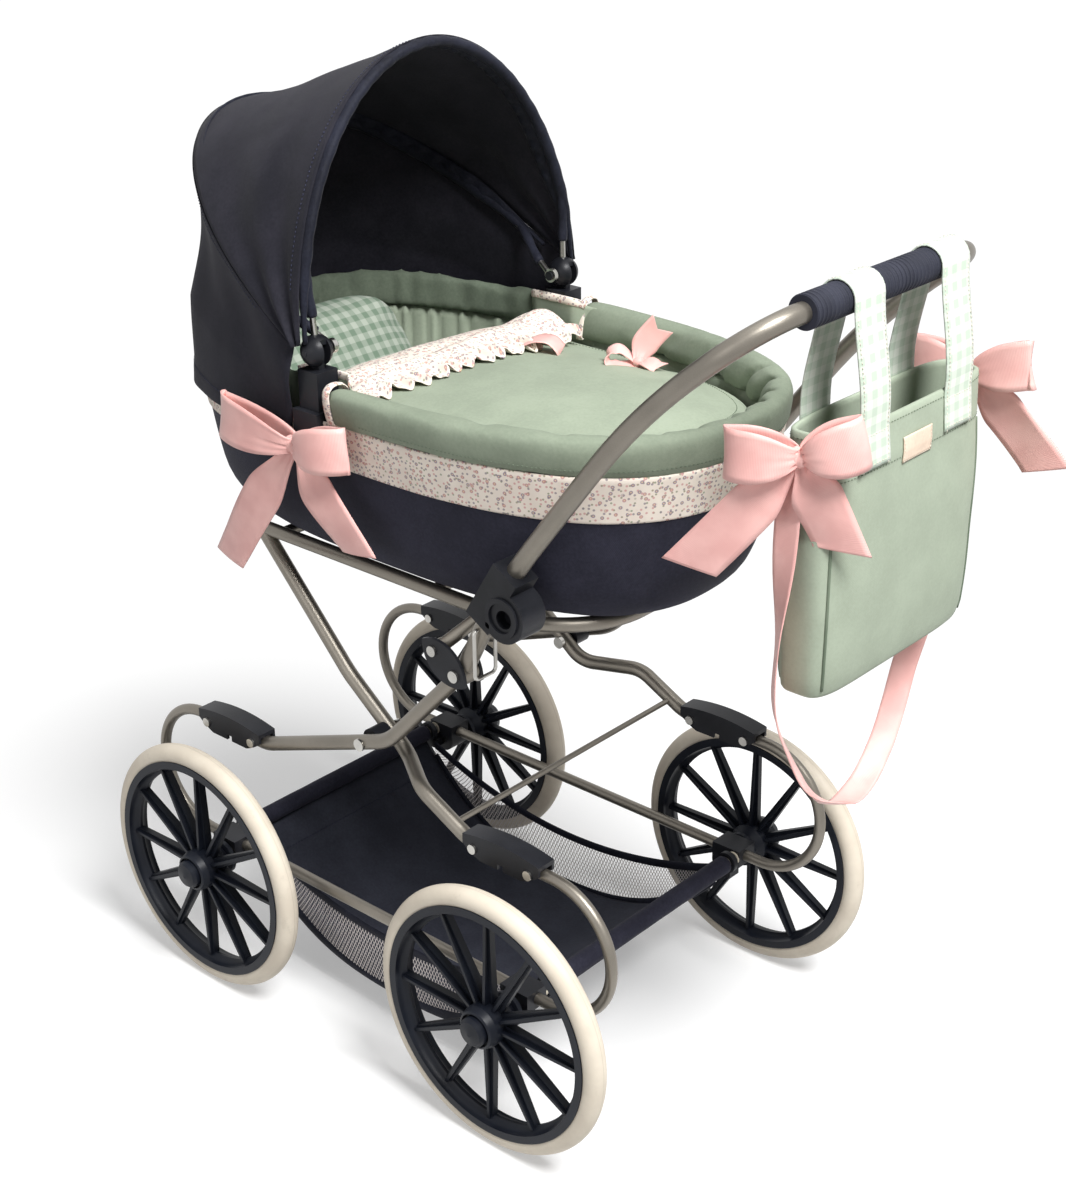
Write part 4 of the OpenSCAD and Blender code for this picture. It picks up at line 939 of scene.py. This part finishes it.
def rollRows(first, last, middle, halfWidth, steps, fold, sides=36):
    rows = []
    for i in range(steps + 1):
        t = i / steps
        a = mix(first, last, t)
        near = min(t, 1 - t) * abs(last - first) * 4.2
        shrink = 0.9 + 0.1 * math.sqrt(1 - (1 - min(1, near / 9)) ** 2)
        row = []
        for k in range(sides):
            out, high = sectionAt(k / sides)
            push = fold(a, out, high)
            x, y = plan(a, middle - (halfWidth * shrink + push) * out)
            row.append(Vector((x, y, cot["top"] + 0.5 + (2 * cot["rollHalfHeight"] * shrink + push) * high)))
        rows.append(row)
    return rows


def rimFold(a, out, high):
    inner = max(0.0, -out)
    end = math.exp(-(a / 38) ** 2)
    return (inner * end * 2.0 * math.sin(a * 0.5 + 0.9 * math.sin(a * 0.23))
            + 0.9 * noise.noise(Vector((a * 0.06, out * 0.8, 2.0 + high))))


def endFold(a, out, high):
    gather = math.sin(a * 0.7 + 1.1 * math.sin(a * 0.23)) * math.sin(a * 0.19 + 1.0)
    return (2.6 * gather * (0.3 + max(0.0, -out)) * high
            + 0.8 * noise.noise(Vector((a * 0.08, out, 5.0 + high))))


def pleatRim(made):
    made.data.update()
    normals = [n.vector.copy() for n in made.data.vertex_normals]
    for v, n in zip(made.data.vertices, normals):
        x, y, z = v.co * 1000
        c = power((x - cot["x"]) / cot["handleReach"], cot["handlePower"] / 2)
        s = power(y / cot["halfWidth"], cot["handlePower"] / 2)
        a = math.degrees(math.atan2(s, c))
        middle = Vector(plan(a, cot["rollInset"]))
        inner = ease((middle.length - Vector((x, y)).length + 3) / 12) if abs(a) < 95 else 0.0
        slant = 7 * ((z - cot["top"]) / (2 * cot["rollHalfHeight"]) - 0.5)
        leaning = a + slant * math.copysign(1, a)
        deep = sum(depth * math.exp(-((leaning - at) / wide) ** 2) for at, wide, depth in pleats)
        v.co -= n * 0.001 * inner * (deep - 1.2)


def clampLow(made, low):
    for v in made.data.vertices:
        v.co.z = max(v.co.z, low * 0.001)


rimStart = 180 - hoodSideAngle(cot["mountX"] + cot["mountGap"])
# The collar uses the darker sage copy, so shade is painted into its colour
rimRoll = capped("rimRoll", rollRows(-rimStart, rimStart, cot["rollInset"], 11.2, 190, rimFold),
                 "sageRimPaintedShade", ("rim_roll",))
puff(rimRoll, 4, 3.0, 2.5)
pleatRim(rimRoll)
clampLow(rimRoll, cot["top"] + 0.3)
endStart = 180 - hoodSideAngle(cot["mountX"] - cot["mountGap"])
# The end roll uses the darker sage copy, so the shade under the hood is painted into its colour
endRoll = capped("hoodEndRoll", rollRows(endStart, 360 - endStart, cot["endRollInset"], 6.4, 220, endFold),
                 "sagePaintedShade", ("hood_end_roll",))
puff(endRoll, 3.5, 3.0, 1.5)
clampLow(endRoll, cot["top"] + 0.3)


def rimBinding(name, side):
    def point(turn, w):
        a = side * (180 - hoodSideAngle(cot["mountX"] + cot["mountGap"] + mix(-0.9, 6.5, w)))
        out, high = sectionAt(turn)
        grow = 1.0 + 1.2 * sinDeg(180 * w)
        x, y = plan(a, cot["rollInset"] - (cot["rollHalfWidth"] + grow) * out)
        return Vector((x, y, cot["top"] + 0.4 + (2 * cot["rollHalfHeight"] + grow) * high))

    made = sewn(name, grid(36, 6, point, True), "floral", ring=True)
    thicken(made, 0.8)
    clothOf(made)


for side, word in nearFar:
    rimBinding("rimBinding" + word, side)
rimTree = surfaceOf(rimRoll)
outerLine = []
for k in range(260):
    x, y = plan(mix(-rimStart + 2.5, rimStart - 2.5, k / 259), -8)
    outerLine.append(pressOn(rimTree, (x, y, cot["top"] + 6), 0.2))
stitches("rimStitches", [outerLine], "greenThread")

# Bedding: the mattress's rows are heights over its underside and insets from the cot's outline
bedding = {
    "mattressZ": 464.3,
    "mattress": ((0, 110), (0, 60), (1, 54), (4, 49.5), (12, 46.5), (26, 46.5), (33, 49.5),
                 (37, 56), (38, 70), (39, 110)),
    "pillowAt": Vector((-166, 0, 557)), "pillowLean": 52, "pillowHalf": (60, 92, 23),
    "pillowRows": (-0.97, -0.92, -0.8, -0.6, -0.35, 0, 0.35, 0.6, 0.8, 0.92, 0.97),
    "coverletZ": 578, "coverletHead": -38.0, "coverletInset": 19.0, "coverletCrown": 24,
}
mattressRows = [wallRow(bedding["mattressZ"] + z, inset, 120) for z, inset in bedding["mattress"]]
mattress = capped("mattressPad", mattressRows, "pale", ("mattress",))
pillowTurn = Euler((0, math.radians(bedding["pillowLean"]), 0)).to_matrix()


def pillowPoint(a, k):
    long, wide, thick = bedding["pillowHalf"]
    grow = 0.72 + 0.28 * math.sqrt(1 - k * k)
    pinch = 1 - 0.35 * max(abs(cosDeg(a)), abs(sinDeg(a))) ** 8
    x, y = long * grow * power(cosDeg(a), 0.6), wide * grow * power(sinDeg(a), 0.6)
    return bedding["pillowAt"] + pillowTurn @ Vector((x, y, thick * k * pinch))


# The pillow uses the darker gingham copy, so shade is painted into its colour
pillow = capped("pillowPad", [[pillowPoint(-5 * i, k) for i in range(72)] for k in bedding["pillowRows"]],
                "ginghamPaintedShade", ("pillow",))
puff(pillow, 5, 4.0, 6)
coverletHead = bedding["coverletHead"]
coverletFoot = cot["x"] + (cot["handleReach"] - bedding["coverletInset"]) * 0.985


def coverletPoint(x, half, k, crown, low):
    return Vector((x, half * k, bedding["coverletZ"] + crown * (1 - k * k) - low * (1 - 0.5 * abs(k) ** 6)))


coverletRows = []
for i in range(61):
    x = mix(coverletHead, coverletFoot, sinDeg(90 * i / 60))
    half = planHalfWidth(x, bedding["coverletInset"])
    crown = bedding["coverletCrown"] * (0.55 + 0.45 * sinDeg(180 * i / 60)) * min(1, half / 80)
    shares = [mix(-1, 1, k / 30) for k in range(31)]
    top = [coverletPoint(x, half, k, crown, 1.5) for k in shares]
    coverletRows.append(top + [coverletPoint(x, half, k, crown, 11) for k in reversed(shares)])
coverlet = capped("coverletPad", coverletRows, "sagePad", ("coverlet",))
puff(coverlet, 5, 2.5, 4)
coverTree = surfaceOf(coverlet)
seamLine = []
for k in range(200):
    x, y = plan(mix(-112, 112, k / 199), 36)
    spot = dropOn(coverTree, x, y, 0.2)
    if spot and x > coverletHead + 4:
        seamLine.append(spot)
stitches("coverletStitches", [seamLine], "greenThread")
print("cot and bedding made")

# Turned-down floral strip with a gathered edge at the head of the coverlet, and the pink tab on it
turnDown = {"near": -128, "far": 122, "frill": 4.6, "wander": 5.0, "plump": (6, 8), "waves": 92}
tabRoute = ((8, 56, 6), (18, 62, 11), (29, 67, 11), (36, 70, 5), (37, 71, 1.5))


def stripBase(x, y):
    half = planHalfWidth(max(x, coverletHead), bedding["coverletInset"])
    spot = dropOn(coverTree, max(x, coverletHead + 2), max(-half + 3, min(half - 3, y)), 0)
    return spot.z if spot else 582.0


def stripPoint(t, w):
    y = mix(turnDown["near"], turnDown["far"], t)
    middle = sinDeg(180 * t)
    frill = ease((w - 0.62) / 0.38)
    head = mix(-56, -40, t) - 32 * middle ** 0.7
    edge = mix(-8, 16, t) + 10 * middle
    phase = t * turnDown["waves"] + 7.0 * noise.noise(Vector((t * 7, 0.2, 1.0)))
    strong = frill * (0.55 + 1.1 * abs(noise.noise(Vector((t * 13, 4.0, 0.4)))))
    x = (mix(head, edge, w) + turnDown["wander"] * strong * math.cos(phase + 1.0)
         + 7 * frill * noise.noise(Vector((t * 9, 7.0, 2.0))))
    flat, plump = turnDown["plump"]
    body = (flat + plump * sinDeg(20 + min(160, 230 * w))) * (1 - frill) * ease(t / 0.16)
    lift = (1.8 + body + turnDown["frill"] * strong * (0.9 + 0.85 * math.sin(phase))
            + 0.8 * frill * math.sin(t * 230) + 2.2 * (1 - frill) * ripple(x, y, 0, 0.03, 6.0)
            + 9 * ease((t - 0.86) / 0.14))
    drop = 7 * (1 - ease(w / 0.12)) + 4 * ease((0.1 - t) / 0.1)
    return Vector((x, y, stripBase(x, y) + lift - drop))


strip = sewn("coverletTurnDown", grid(320, 24, stripPoint), "floral")
thicken(strip, 0.8, 1.0)
clothOf(strip)
tabPath = smoothLine([(x, y, stripBase(x, y) + lift) for x, y, lift in tabRoute], 6)
tab = piece("coverletTab", ribbonMesh("coverletTab", tabPath, (-0.4, 0.9, 0), 24.0), "ribbon")
clothOf(tab)

# Bound flaps of lining that close the collar's gaps at the hood mounts
flap = {"from": -66, "to": 14, "low": 577, "high": 616.5, "endHigh": 611.5}
for side, word in nearFar:
    def flapPoint(t, w):
        x = mix(flap["from"], flap["to"], t)
        away = ease((abs(x - cot["mountX"]) - 19) / 18)
        inset = mix(15.0, mix(21.8, 11.0, away), ease(w * 2.0))
        z = mix(flap["low"], mix(flap["high"], flap["endHigh"], away), w)
        return Vector((x, side * planHalfWidth(x, inset), z))

    rows = grid(40, 12, flapPoint)
    made = sewn("mountFlap" + word, rows, "sage", flip=side < 0)
    thicken(made, 0.9)
    clothOf(made)
    tube("mountFlapBinding" + word, rows[-1][5:36], 3.6, "floral", flat=0.45)
print("strip and flaps made")

# Basket: sling, sleeves round the bars, nets and their edging
basket = {"barX": 190.0, "barZ": 129.0, "clothRadius": 8.6, "depth": 100.0, "halfWidth": 119.0,
          "slingX": 189, "slingY": 118.6, "sleeve": 7.7, "netX": 178, "netY": 119.8, "seamX": 168}
plugRows = ((5.9, 131.4), (6.4, 131.9), (6.4, 133.2), (5.6, 134.4), (3.8, 135.3), (1.6, 135.7), (0.3, 135.75))


def slingZ(x):
    return (basket["barZ"] - basket["clothRadius"]
            - (basket["depth"] - basket["clothRadius"]) * (1 - (abs(x) / basket["barX"]) ** 2.6))


def netTop(x):
    return basket["barZ"] - 4 - 42 * (1 - (x / basket["barX"]) ** 2)


def slingPoint(x, y):
    rest = 1 - (abs(x) / basket["barX"]) ** 2
    belly = 1.5 * rest * (1 - (y / basket["halfWidth"]) ** 2)
    return Vector((x, y, slingZ(x) + 1 - belly + 1.4 * rest * ripple(x, y, 0, 0.02, 3.0)))


def span(key, t):
    return mix(-basket[key], basket[key], t)


# The sling uses the lighter navy copy, so light is painted into its colour
sling = sewn("basketSling", grid(48, 96, lambda u, v: slingPoint(span("slingX", v), span("slingY", u))),
             "navyBasketPaintedLight", ("basket_cloth",), flip=True)
thicken(sling, 1.4)
clothOf(sling)
slingTree = surfaceOf(sling)
slingLines = []
for end, word in ((-1, "Hood"), (1, "Handle")):
    def sleevePoint(turn, t):
        y = span("slingY", t)
        out = basket["sleeve"] + 0.5 * ripple(216 * turn, y, end, 0.05, 2.0)
        up = basket["sleeve"] + 0.5 * ripple(216 * turn, y, end, 0.05, 4.0)
        x = end * (basket["barX"] + out * cosDeg(360 * turn))
        return Vector((x, y, basket["barZ"] + up * sinDeg(360 * turn)))

    rows = grid(24, 60, sleevePoint, True)
    sleeve = sewn("basketSleeve" + word, rows, "navyCloth", ring=True, flip=end > 0)
    thicken(sleeve, 1.4)
    clothOf(sleeve)
    seam = [slingPoint(end * basket["seamX"], mix(-116, 116, k / 80)) + Vector((0, 0, 4)) for k in range(81)]
    slingLines.append([pressOn(slingTree, p, 0.3) for p in seam])
stitches("basketStitches", slingLines, "navyThread")
for side, word in nearFar:
    def netPoint(t, w):
        x = span("netX", t)
        y = basket["netY"] + 1.6 * sinDeg(180 * w) * (1 - (x / basket["netX"]) ** 2)
        return Vector((x, side * y, mix(slingZ(x) + 0.5, netTop(x), w)))

    name = word.lower()
    net = sewn("basketNet." + name, grid(96, 18, netPoint), "net", ("basket_mesh_" + name,), flip=side > 0)
    clothOf(net)
    lowPath, topPath = ([netPoint(k / 60, w) for k in range(61)] for w in (0, 1))
    tube("basketNetHem." + name, topPath, 4.2, "navyTape", flat=0.3)
    tube("basketNetPiping." + name, lowPath, lambda t: 4.6 + 1.3 * math.sin(9 * t + 0.8), "navyTape",
         flat=0.35)
for end, word in ((-1, "hood"), (1, "handle")):
    for side, sideWord in nearFar:
        rows = []
        for r, y in plugRows:
            rows.append([Vector((end * basket["barX"] + r * cosDeg(15 * k), side * y,
                                 basket["barZ"] + r * sinDeg(15 * k))) for k in range(24)])
        capped("barPlug." + word + sideWord, rows, "plug")
print("basket made")


# Bag: a lofted pouch with a soft belly, a hemmed mouth, piping, straps and a bare label
def bagRing(down, halfWidth, halfDepth, soft=1.0):
    z = bagSize["top"] - down
    k = max(0, min(1, 1 - down / bagSize["high"]))
    p = mix(0.4, 0.62, 0.5 + 0.5 * sinDeg(180 * k)) * 0.85
    row = []
    for i in range(128):
        a = -360 * i / 128
        c, y = power(cosDeg(a), p), halfWidth * power(sinDeg(a), 0.4)
        belly = 1.6 * ripple(0, y, z, 0.016, 4.0 if c > 0 else 9.0) * soft
        belly += 0.8 * math.sin(y * 0.11 + z * 0.05) * math.exp(-((abs(y) - 88) / 18) ** 2) * soft
        row.append(Vector((bagSize["x"] + (halfDepth + belly) * c, bagSize["y"] + y, z)))
    return row


def bagLevel(k, thin):
    halfWidth = bagSize["width"] / 2 * (0.97 + 0.03 * sinDeg(180 * k))
    halfDepth = bagSize["deep"] / 2 * (0.72 + 0.28 * sinDeg(20 + 140 * k))
    hem = 0.9 if k > 0.825 and thin == 0 else 0.0
    soft = 1 - 0.6 * ease((k - 0.8) / 0.2)
    return bagRing(bagSize["high"] * (1 - k), halfWidth - thin + hem * 0.5, halfDepth - thin + hem, soft)


bagBase = ((0.6, 30, 3, 0), (0.6, 70, 10, 0), (0.6, 88, 16, 0), (0.6, 95, 18.5, 0),
           (2.2, 98.5, 20.5, 0.3), (5, 100.3, 21.6, 0.3))
bagInside = (1.0, 0.98, 0.94, 0.9, 0.8, 0.65, 0.5, 0.35, 0.2, 0.1)
bagRows = [bagRing(bagSize["high"] - z, w, d, soft) for z, w, d, soft in bagBase]
bagRows += [bagLevel(k / 40, 0) for k in range(3, 41)]
bagRows += [bagLevel(1.004, 0.5), bagLevel(1.005, 1.8)]
bagRows += [bagLevel(k, 3) for k in bagInside]
bagRows.append(bagRing(bagSize["high"] - 8, 88, 13, 0))
# The pouch uses the lighter sage copy, so light is painted into its colour
bagPouch = capped("bagPouch", bagRows, "sageBagPaintedLight", ("bag",), "bag")
clothOf(bagPouch)
bagTree = surfaceOf(bagPouch)


def bagHit(spot, toward):
    return bagTree.ray_cast(Vector(spot) * 0.001, Vector(toward).normalized())[:2]


def roundBag(down, out, steps=240):
    line = []
    for i in range(steps + 1):
        a = -360 * i / steps
        x, y = 60 * power(cosDeg(a), 0.4), 130 * power(sinDeg(a), 0.4)
        spot, normal = bagHit((bagSize["x"] + x, bagSize["y"] + y, bagSize["top"] - down), (-x, -0.22 * y, 0))
        if spot is not None:
            line.append((spot + normal * out * 0.001) * 1000)
    return line


stitches("bagHemStitches", [roundBag(33, 0.2), roundBag(4, 0.2)], "greenThread", "bag")
for side, word in nearFar:
    for face, faceWord in ((1, "Front"), (-1, "Back")):
        path = []
        for k in range(44):
            z = bagSize["top"] - mix(192, 36, k / 43)
            start = (bagSize["x"] + face * 40, bagSize["y"] + side * 118, z)
            spot = bagHit(start, (-face * 0.66, -side * 0.75, 0))[0]
            if spot is not None:
                path.append(spot * 1000)
        tube("bagPiping" + word + faceWord, path, 1.25, "greenThread", "bag", 8)

strap = {"width": 36.0, "thick": 1.3, "near": -34, "far": 76, "round": 13.7, "seam": 15.6}


def strapReach(side, place, z):
    hits = [bagHit((bagSize["x"] + side * 60, place + y, z), (-side, 0, 0))[0] for y in (-16, -8, 0, 8, 16)]
    return max(abs(hit.x * 1000 - bagSize["x"]) for hit in hits)


def strapPath(side, place):
    gripZ, top, r = bagSize["gripZ"], bagSize["top"], strap["round"]
    points = [(side * r * sinDeg(a), gripZ + r * cosDeg(a)) for a in (0, 18, 36, 54, 72, 88)]
    for k in range(1, 19):
        t = k / 18
        points.append((side * (mix(r, 24.2, ease(t)) + 1.4 * sinDeg(180 * t)), mix(gripZ - 1, top + 4, t)))
    points += [(side * (strapReach(side, place, top - d) + 0.9), top - d) for d in (2, 7, 12, 17, 22, 27, 30)]
    return [Vector((bagSize["x"] + x, place, z)) for x, z in points]


def strapOut(p):
    return Vector((p.x - bagSize["x"], 0, max(0, p.z - bagSize["gripZ"]))).normalized()


for word in ("Near", "Far"):
    place = strap[word.lower()]
    path = list(reversed(strapPath(-1, place)))[:-1] + strapPath(1, place)
    made = piece("bagStrap" + word, ribbonMesh(
        "bagStrap" + word, path, (0, 1, 0), strap["width"], strap["thick"],
        lambda t, s: 0.5 * s * s * math.sin(14 * t)), "gingham", ("bag_straps",), "bag")
    clothOf(made)
    lines = [[p + Vector((0, s, 0)) + strapOut(p) for p in path] for s in (-strap["seam"], strap["seam"])]
    for side in (-1, 1):
        for z in (bagSize["top"] - 27, bagSize["top"] - 6):
            x = bagSize["x"] + side * (strapReach(side, place, z) + 1.75)
            lines.append([Vector((x, place + y, z)) for y in (-strap["seam"], -8, 0, 8, strap["seam"])])
    stitches("bagStrapStitches" + word, lines, "creamThread", "bag", 3.2, 2.2, 0.35)

label = {"near": 3, "far": 41, "low": 38, "high": 19}


def labelPoint(t, w):
    y = mix(label["near"], label["far"], t)
    z = bagSize["top"] - mix(label["low"], label["high"], w)
    return Vector((bagHit((480, y, z), (-1, 0, 0))[0].x * 1000 + 0.9, y, z))


def labelSeam(p):
    return Vector((p.x + 0.6, mix(p.y, bagSize["y"], 0.06), mix(p.z, bagSize["top"] - 28.5, 0.1)))


labelRows = grid(12, 8, labelPoint)
bagLabel = sewn("bagLabel", labelRows, "label", (), "bag")
thicken(bagLabel, 0.8)
clothOf(bagLabel)
border = (labelRows[0] + [row[12] for row in labelRows] + list(reversed(labelRows[8]))
          + [row[0] for row in reversed(labelRows)])
labelLine = [labelSeam(p) for p in border]
stitches("bagLabelStitches", [labelLine], "creamThread", "bag", 2.6, 1.8, 0.3)
print("bag made")


# Tied bows: two loops, two tails and a knot; +X across, +Z up, -Y outwards in their own plane
def bowMeshes(name, loops, tails, wide, spreads, seed, steps=48):
    def loopCrease(t, s):
        pinch = 1 - ease(min(t, 1 - t) / 0.3)
        return pinch * 1.3 * (math.cos(3.2 * math.pi * s + seed) - 1) + (1 - s * s) * sinDeg(180 * t)

    def tailCrease(t, s):
        pinch = 1 - ease(t / 0.45)
        return pinch * 1.2 * (math.cos(2.6 * math.pi * s + seed) - 1) + 1.6 * s * s * math.sin(5 * t + seed)

    def knotPoint(turn, t):
        w = mix(-1, 1, t)
        r = 7.6 - 1.1 * w * w + 0.4 * math.cos(3 * math.pi * w + 2 * math.pi * turn)
        return Vector((w * 7.4, -4 + r * 0.92 * cosDeg(360 * turn), r * sinDeg(360 * turn)))

    meshes = []
    for side, loop, tail, spread in zip((-1, 1), loops, tails, spreads):
        path, across, widths = [], [], []
        for i in range(steps + 1):
            a = 360 * i / steps
            bulge = 12.5 if sinDeg(a) > 0 else 3.0
            path.append(Vector((side * (2 + loop * (1 - cosDeg(a)) / 2),
                                -4 - bulge * sinDeg(a) - 2.4 * cosDeg(a / 2),
                                5 * (1 - cosDeg(a)) + 1.5 * math.sin(a * 0.02 + seed))))
            across.append(Vector((-side * 0.12, 0.10 * sinDeg(a), 1)))
            widths.append(mix(12, wide + 1, ease(1.15 * sinDeg(a / 2))))
        meshes.append(ribbonMesh(name + "Loop", path, across, widths, crease=loopCrease))
        path, across, widths = [], [], []
        for i in range(steps + 1):
            k = i / steps
            swing = 2.4 * k * math.sin(3.6 * k + seed + side)
            path.append(Vector((side * (2 + tail * spread * k), -4 + side * 1.1 - 3 * sinDeg(180 * k) - swing,
                                -2 - tail * k)))
            across.append(Vector((1, 0.18 * math.sin(4 * k + seed), side * spread)))
            widths.append(mix(12, wide, ease(2.5 * k)))
        meshes.append(ribbonMesh(name + "Tail", path, across, widths, crease=tailCrease, skew=side * 0.55))
    return meshes + [closed(gridMesh(name + "Knot", grid(28, 12, knotPoint, True), True))]


# Small ribbon: one loop lies to the left, one notched end stands up against the collar, one lies flat
def smallMeshes(name):
    def fold(t, s):
        return (1 - ease(t / 0.5)) * (math.cos(2.6 * math.pi * s) - 1) + 1.2 * s * s * math.sin(5 * t)

    def strand(points, across, first, last, **more):
        path = smoothLine(points, 8)
        widths = [mix(first, last, ease(2.2 * i / (len(path) - 1))) for i in range(len(path))]
        return ribbonMesh(name, path, across, widths, **more)

    def knotPoint(turn, t):
        w = mix(-1, 1, t)
        shrink = 0.9 * w * w
        x, up = (5.6 - shrink) * cosDeg(360 * turn), (4.6 - shrink) * sinDeg(360 * turn)
        return Vector((x, w * 5.2, 3.5 + up))

    loop = [(0, 0, 2), (-8, 3, 10), (-17, 5, 17), (-26, 3, 15), (-28, -2, 8), (-20, -6, 3), (-9, -4, 1.2),
            (0, 0, 1)]
    upright = [(0, 0, 3), (4, 4, 11), (10, 7, 20), (17, 9, 27), (25, 10, 34)]
    lying = [(0, 0, 2), (6, -4, 4), (12, -8, 3.4), (17, -11, 1.6), (21, -13, 1)]
    return [strand(loop, (0.15, 1, 0.3), 10, 17),
            strand(upright, (1, -0.1, -0.7), 11, 27, crease=fold, notch=0.6),
            strand(lying, (0.7, 0.7, 0.1), 10, 19, crease=fold, skew=0.5),
            closed(gridMesh(name, grid(20, 8, knotPoint, True), True))]


def setBow(name, meshes, at, turn, replaced=(), body="chassis", scale=1.0):
    mesh = joined(name, meshes)
    turned = Euler([math.radians(t) for t in turn]).to_matrix().to_4x4()
    mesh.transform(Matrix.Translation(Vector(at) * 0.001) @ turned @ Matrix.Scale(scale, 4))
    clothOf(piece(name, mesh, "ribbon", replaced, body))


bowWidth = 36
bows = {
    "cotBow": {"loops": (84, 56), "tails": (120, 76), "spreads": (0.74, 0.8), "seed": 0.4},
    "bagBowNear": {"loops": (48, 44), "tails": (74, 70), "spreads": (1.1, 0.3), "seed": 1.1},
    "bagBowFar": {"loops": (46, 46), "tails": (68, 66), "spreads": (0.85, 0.45), "seed": 2.3},
}
tied = {name: bowMeshes(name, wide=bowWidth, **shape) for name, shape in bows.items()}
cotBowAt = (cot["mountX"] - 3, -cot["halfWidth"] - 12.5, cot["top"] - 18)
setBow("cotBow", tied["cotBow"], cotBowAt, (0, 0, 0), ("cot_bow",))
for name, y, turn in (("bagBowNear", -88, (0, -8, 30)), ("bagBowFar", 133, (0, 6, 187))):
    bowAt = (bagSize["x"], y, bagSize["top"] - 12)
    setBow(name, tied[name], bowAt, turn, ("bag_bows",), "bag")
smallAt = dropOn(coverTree, 108, 86, 1.5)
setBow("coverletBow", smallMeshes("coverletBow"), smallAt, (4, -6, 40), scale=0.84)
print("bows made")


# Floor, backdrop and light: the white comes from what the camera and shiny surfaces see, not from more light
def seenRay(tree):
    path = tree.nodes.new("ShaderNodeLightPath")
    ray = Wire(tree, path.outputs["Is Camera Ray"])
    for name in ("Is Glossy Ray", "Is Transmission Ray"):
        ray = ray.math("MAXIMUM", Wire(tree, path.outputs[name]))
    return ray.socket


studio = {"floorGlow": 0.34, "floorWhite": 1.05, "fadeFrom": 0.42, "fadeTo": 0.85,
          "ambient": 0.2, "backdrop": 1.0}
floorMesh = bpy.data.meshes.new("floor")
floorMesh.from_pydata([(-14, -14, 0), (14, -14, 0), (14, 14, 0), (-14, 14, 0)], [], [(0, 1, 2, 3)])
floor = bpy.data.objects.new("floor", floorMesh)
scene.collection.objects.link(floor)
floorFinish = bpy.data.materials.new("paleFloor")
floorFinish.use_nodes = True
floorTree = floorFinish.node_tree
floorTree.nodes.clear()
node = nodesIn(floorTree, {
    "lit": "ShaderNodeBsdfDiffuse", "glow": "ShaderNodeEmission", "near": "ShaderNodeAddShader",
    "white": "ShaderNodeEmission", "where": "ShaderNodeTexCoord", "reach": "ShaderNodeVectorMath",
    "fade": "ShaderNodeMapRange", "seen": "ShaderNodeMixShader", "plain": "ShaderNodeBsdfDiffuse",
    "choose": "ShaderNodeMixShader", "result": "ShaderNodeOutputMaterial"})
node["lit"].inputs["Color"].default_value = (0.7, 0.7, 0.7, 1)
node["plain"].inputs["Color"].default_value = (0.5, 0.5, 0.5, 1)
node["glow"].inputs["Strength"].default_value = studio["floorGlow"]
node["white"].inputs["Strength"].default_value = studio["floorWhite"]
node["reach"].operation = "LENGTH"
node["fade"].interpolation_type = "SMOOTHSTEP"
node["fade"].inputs["From Min"].default_value = studio["fadeFrom"]
node["fade"].inputs["From Max"].default_value = studio["fadeTo"]
connect(floorTree, node, [
    ("lit", 0, "near", 0), ("glow", 0, "near", 1), ("where", "Object", "reach", 0),
    ("reach", "Value", "fade", "Value"), ("fade", 0, "seen", 0),
    ("near", 0, "seen", 1), ("white", 0, "seen", 2), ("plain", 0, "choose", 1),
    ("seen", 0, "choose", 2), ("choose", 0, "result", "Surface")])
floorTree.links.new(seenRay(floorTree), node["choose"].inputs[0])
floorMesh.materials.append(floorFinish)

world = bpy.data.worlds.new("studio")
scene.world = world
world.use_nodes = True
worldTree = world.node_tree
worldTree.nodes.clear()
node = nodesIn(worldTree, {"ambient": "ShaderNodeBackground", "backdrop": "ShaderNodeBackground",
                           "pick": "ShaderNodeMixShader", "end": "ShaderNodeOutputWorld"})
for name in ("ambient", "backdrop"):
    node[name].inputs["Color"].default_value = (1, 1, 1, 1)
    node[name].inputs["Strength"].default_value = studio[name]
connect(worldTree, node, [
    ("ambient", 0, "pick", 1), ("backdrop", 0, "pick", 2), ("pick", 0, "end", "Surface")])
worldTree.links.new(seenRay(worldTree), node["pick"].inputs[0])


def softLight(name, at, aim, wide, watts):
    lamp = bpy.data.lights.new(name, "AREA")
    lamp.shape = "DISK"
    lamp.size = wide
    lamp.energy = watts
    made = bpy.data.objects.new(name, lamp)
    made.location = at
    made.rotation_euler = (Vector(aim) - Vector(at)).to_track_quat("-Z", "Y").to_euler()
    scene.collection.objects.link(made)


softLight("keyLight", (2.1, -0.45, 3.3), (0.05, 0, 0.45), 1.5, 200)
softLight("topLight", (-0.2, 0.3, 3.2), (0, 0, 0.4), 2.4, 14)
softLight("fillLight", (0.2, -3.0, 1.3), (0, 0, 0.4), 2.0, 13)
print("floor and light set")

scene.view_settings.view_transform = "Standard"
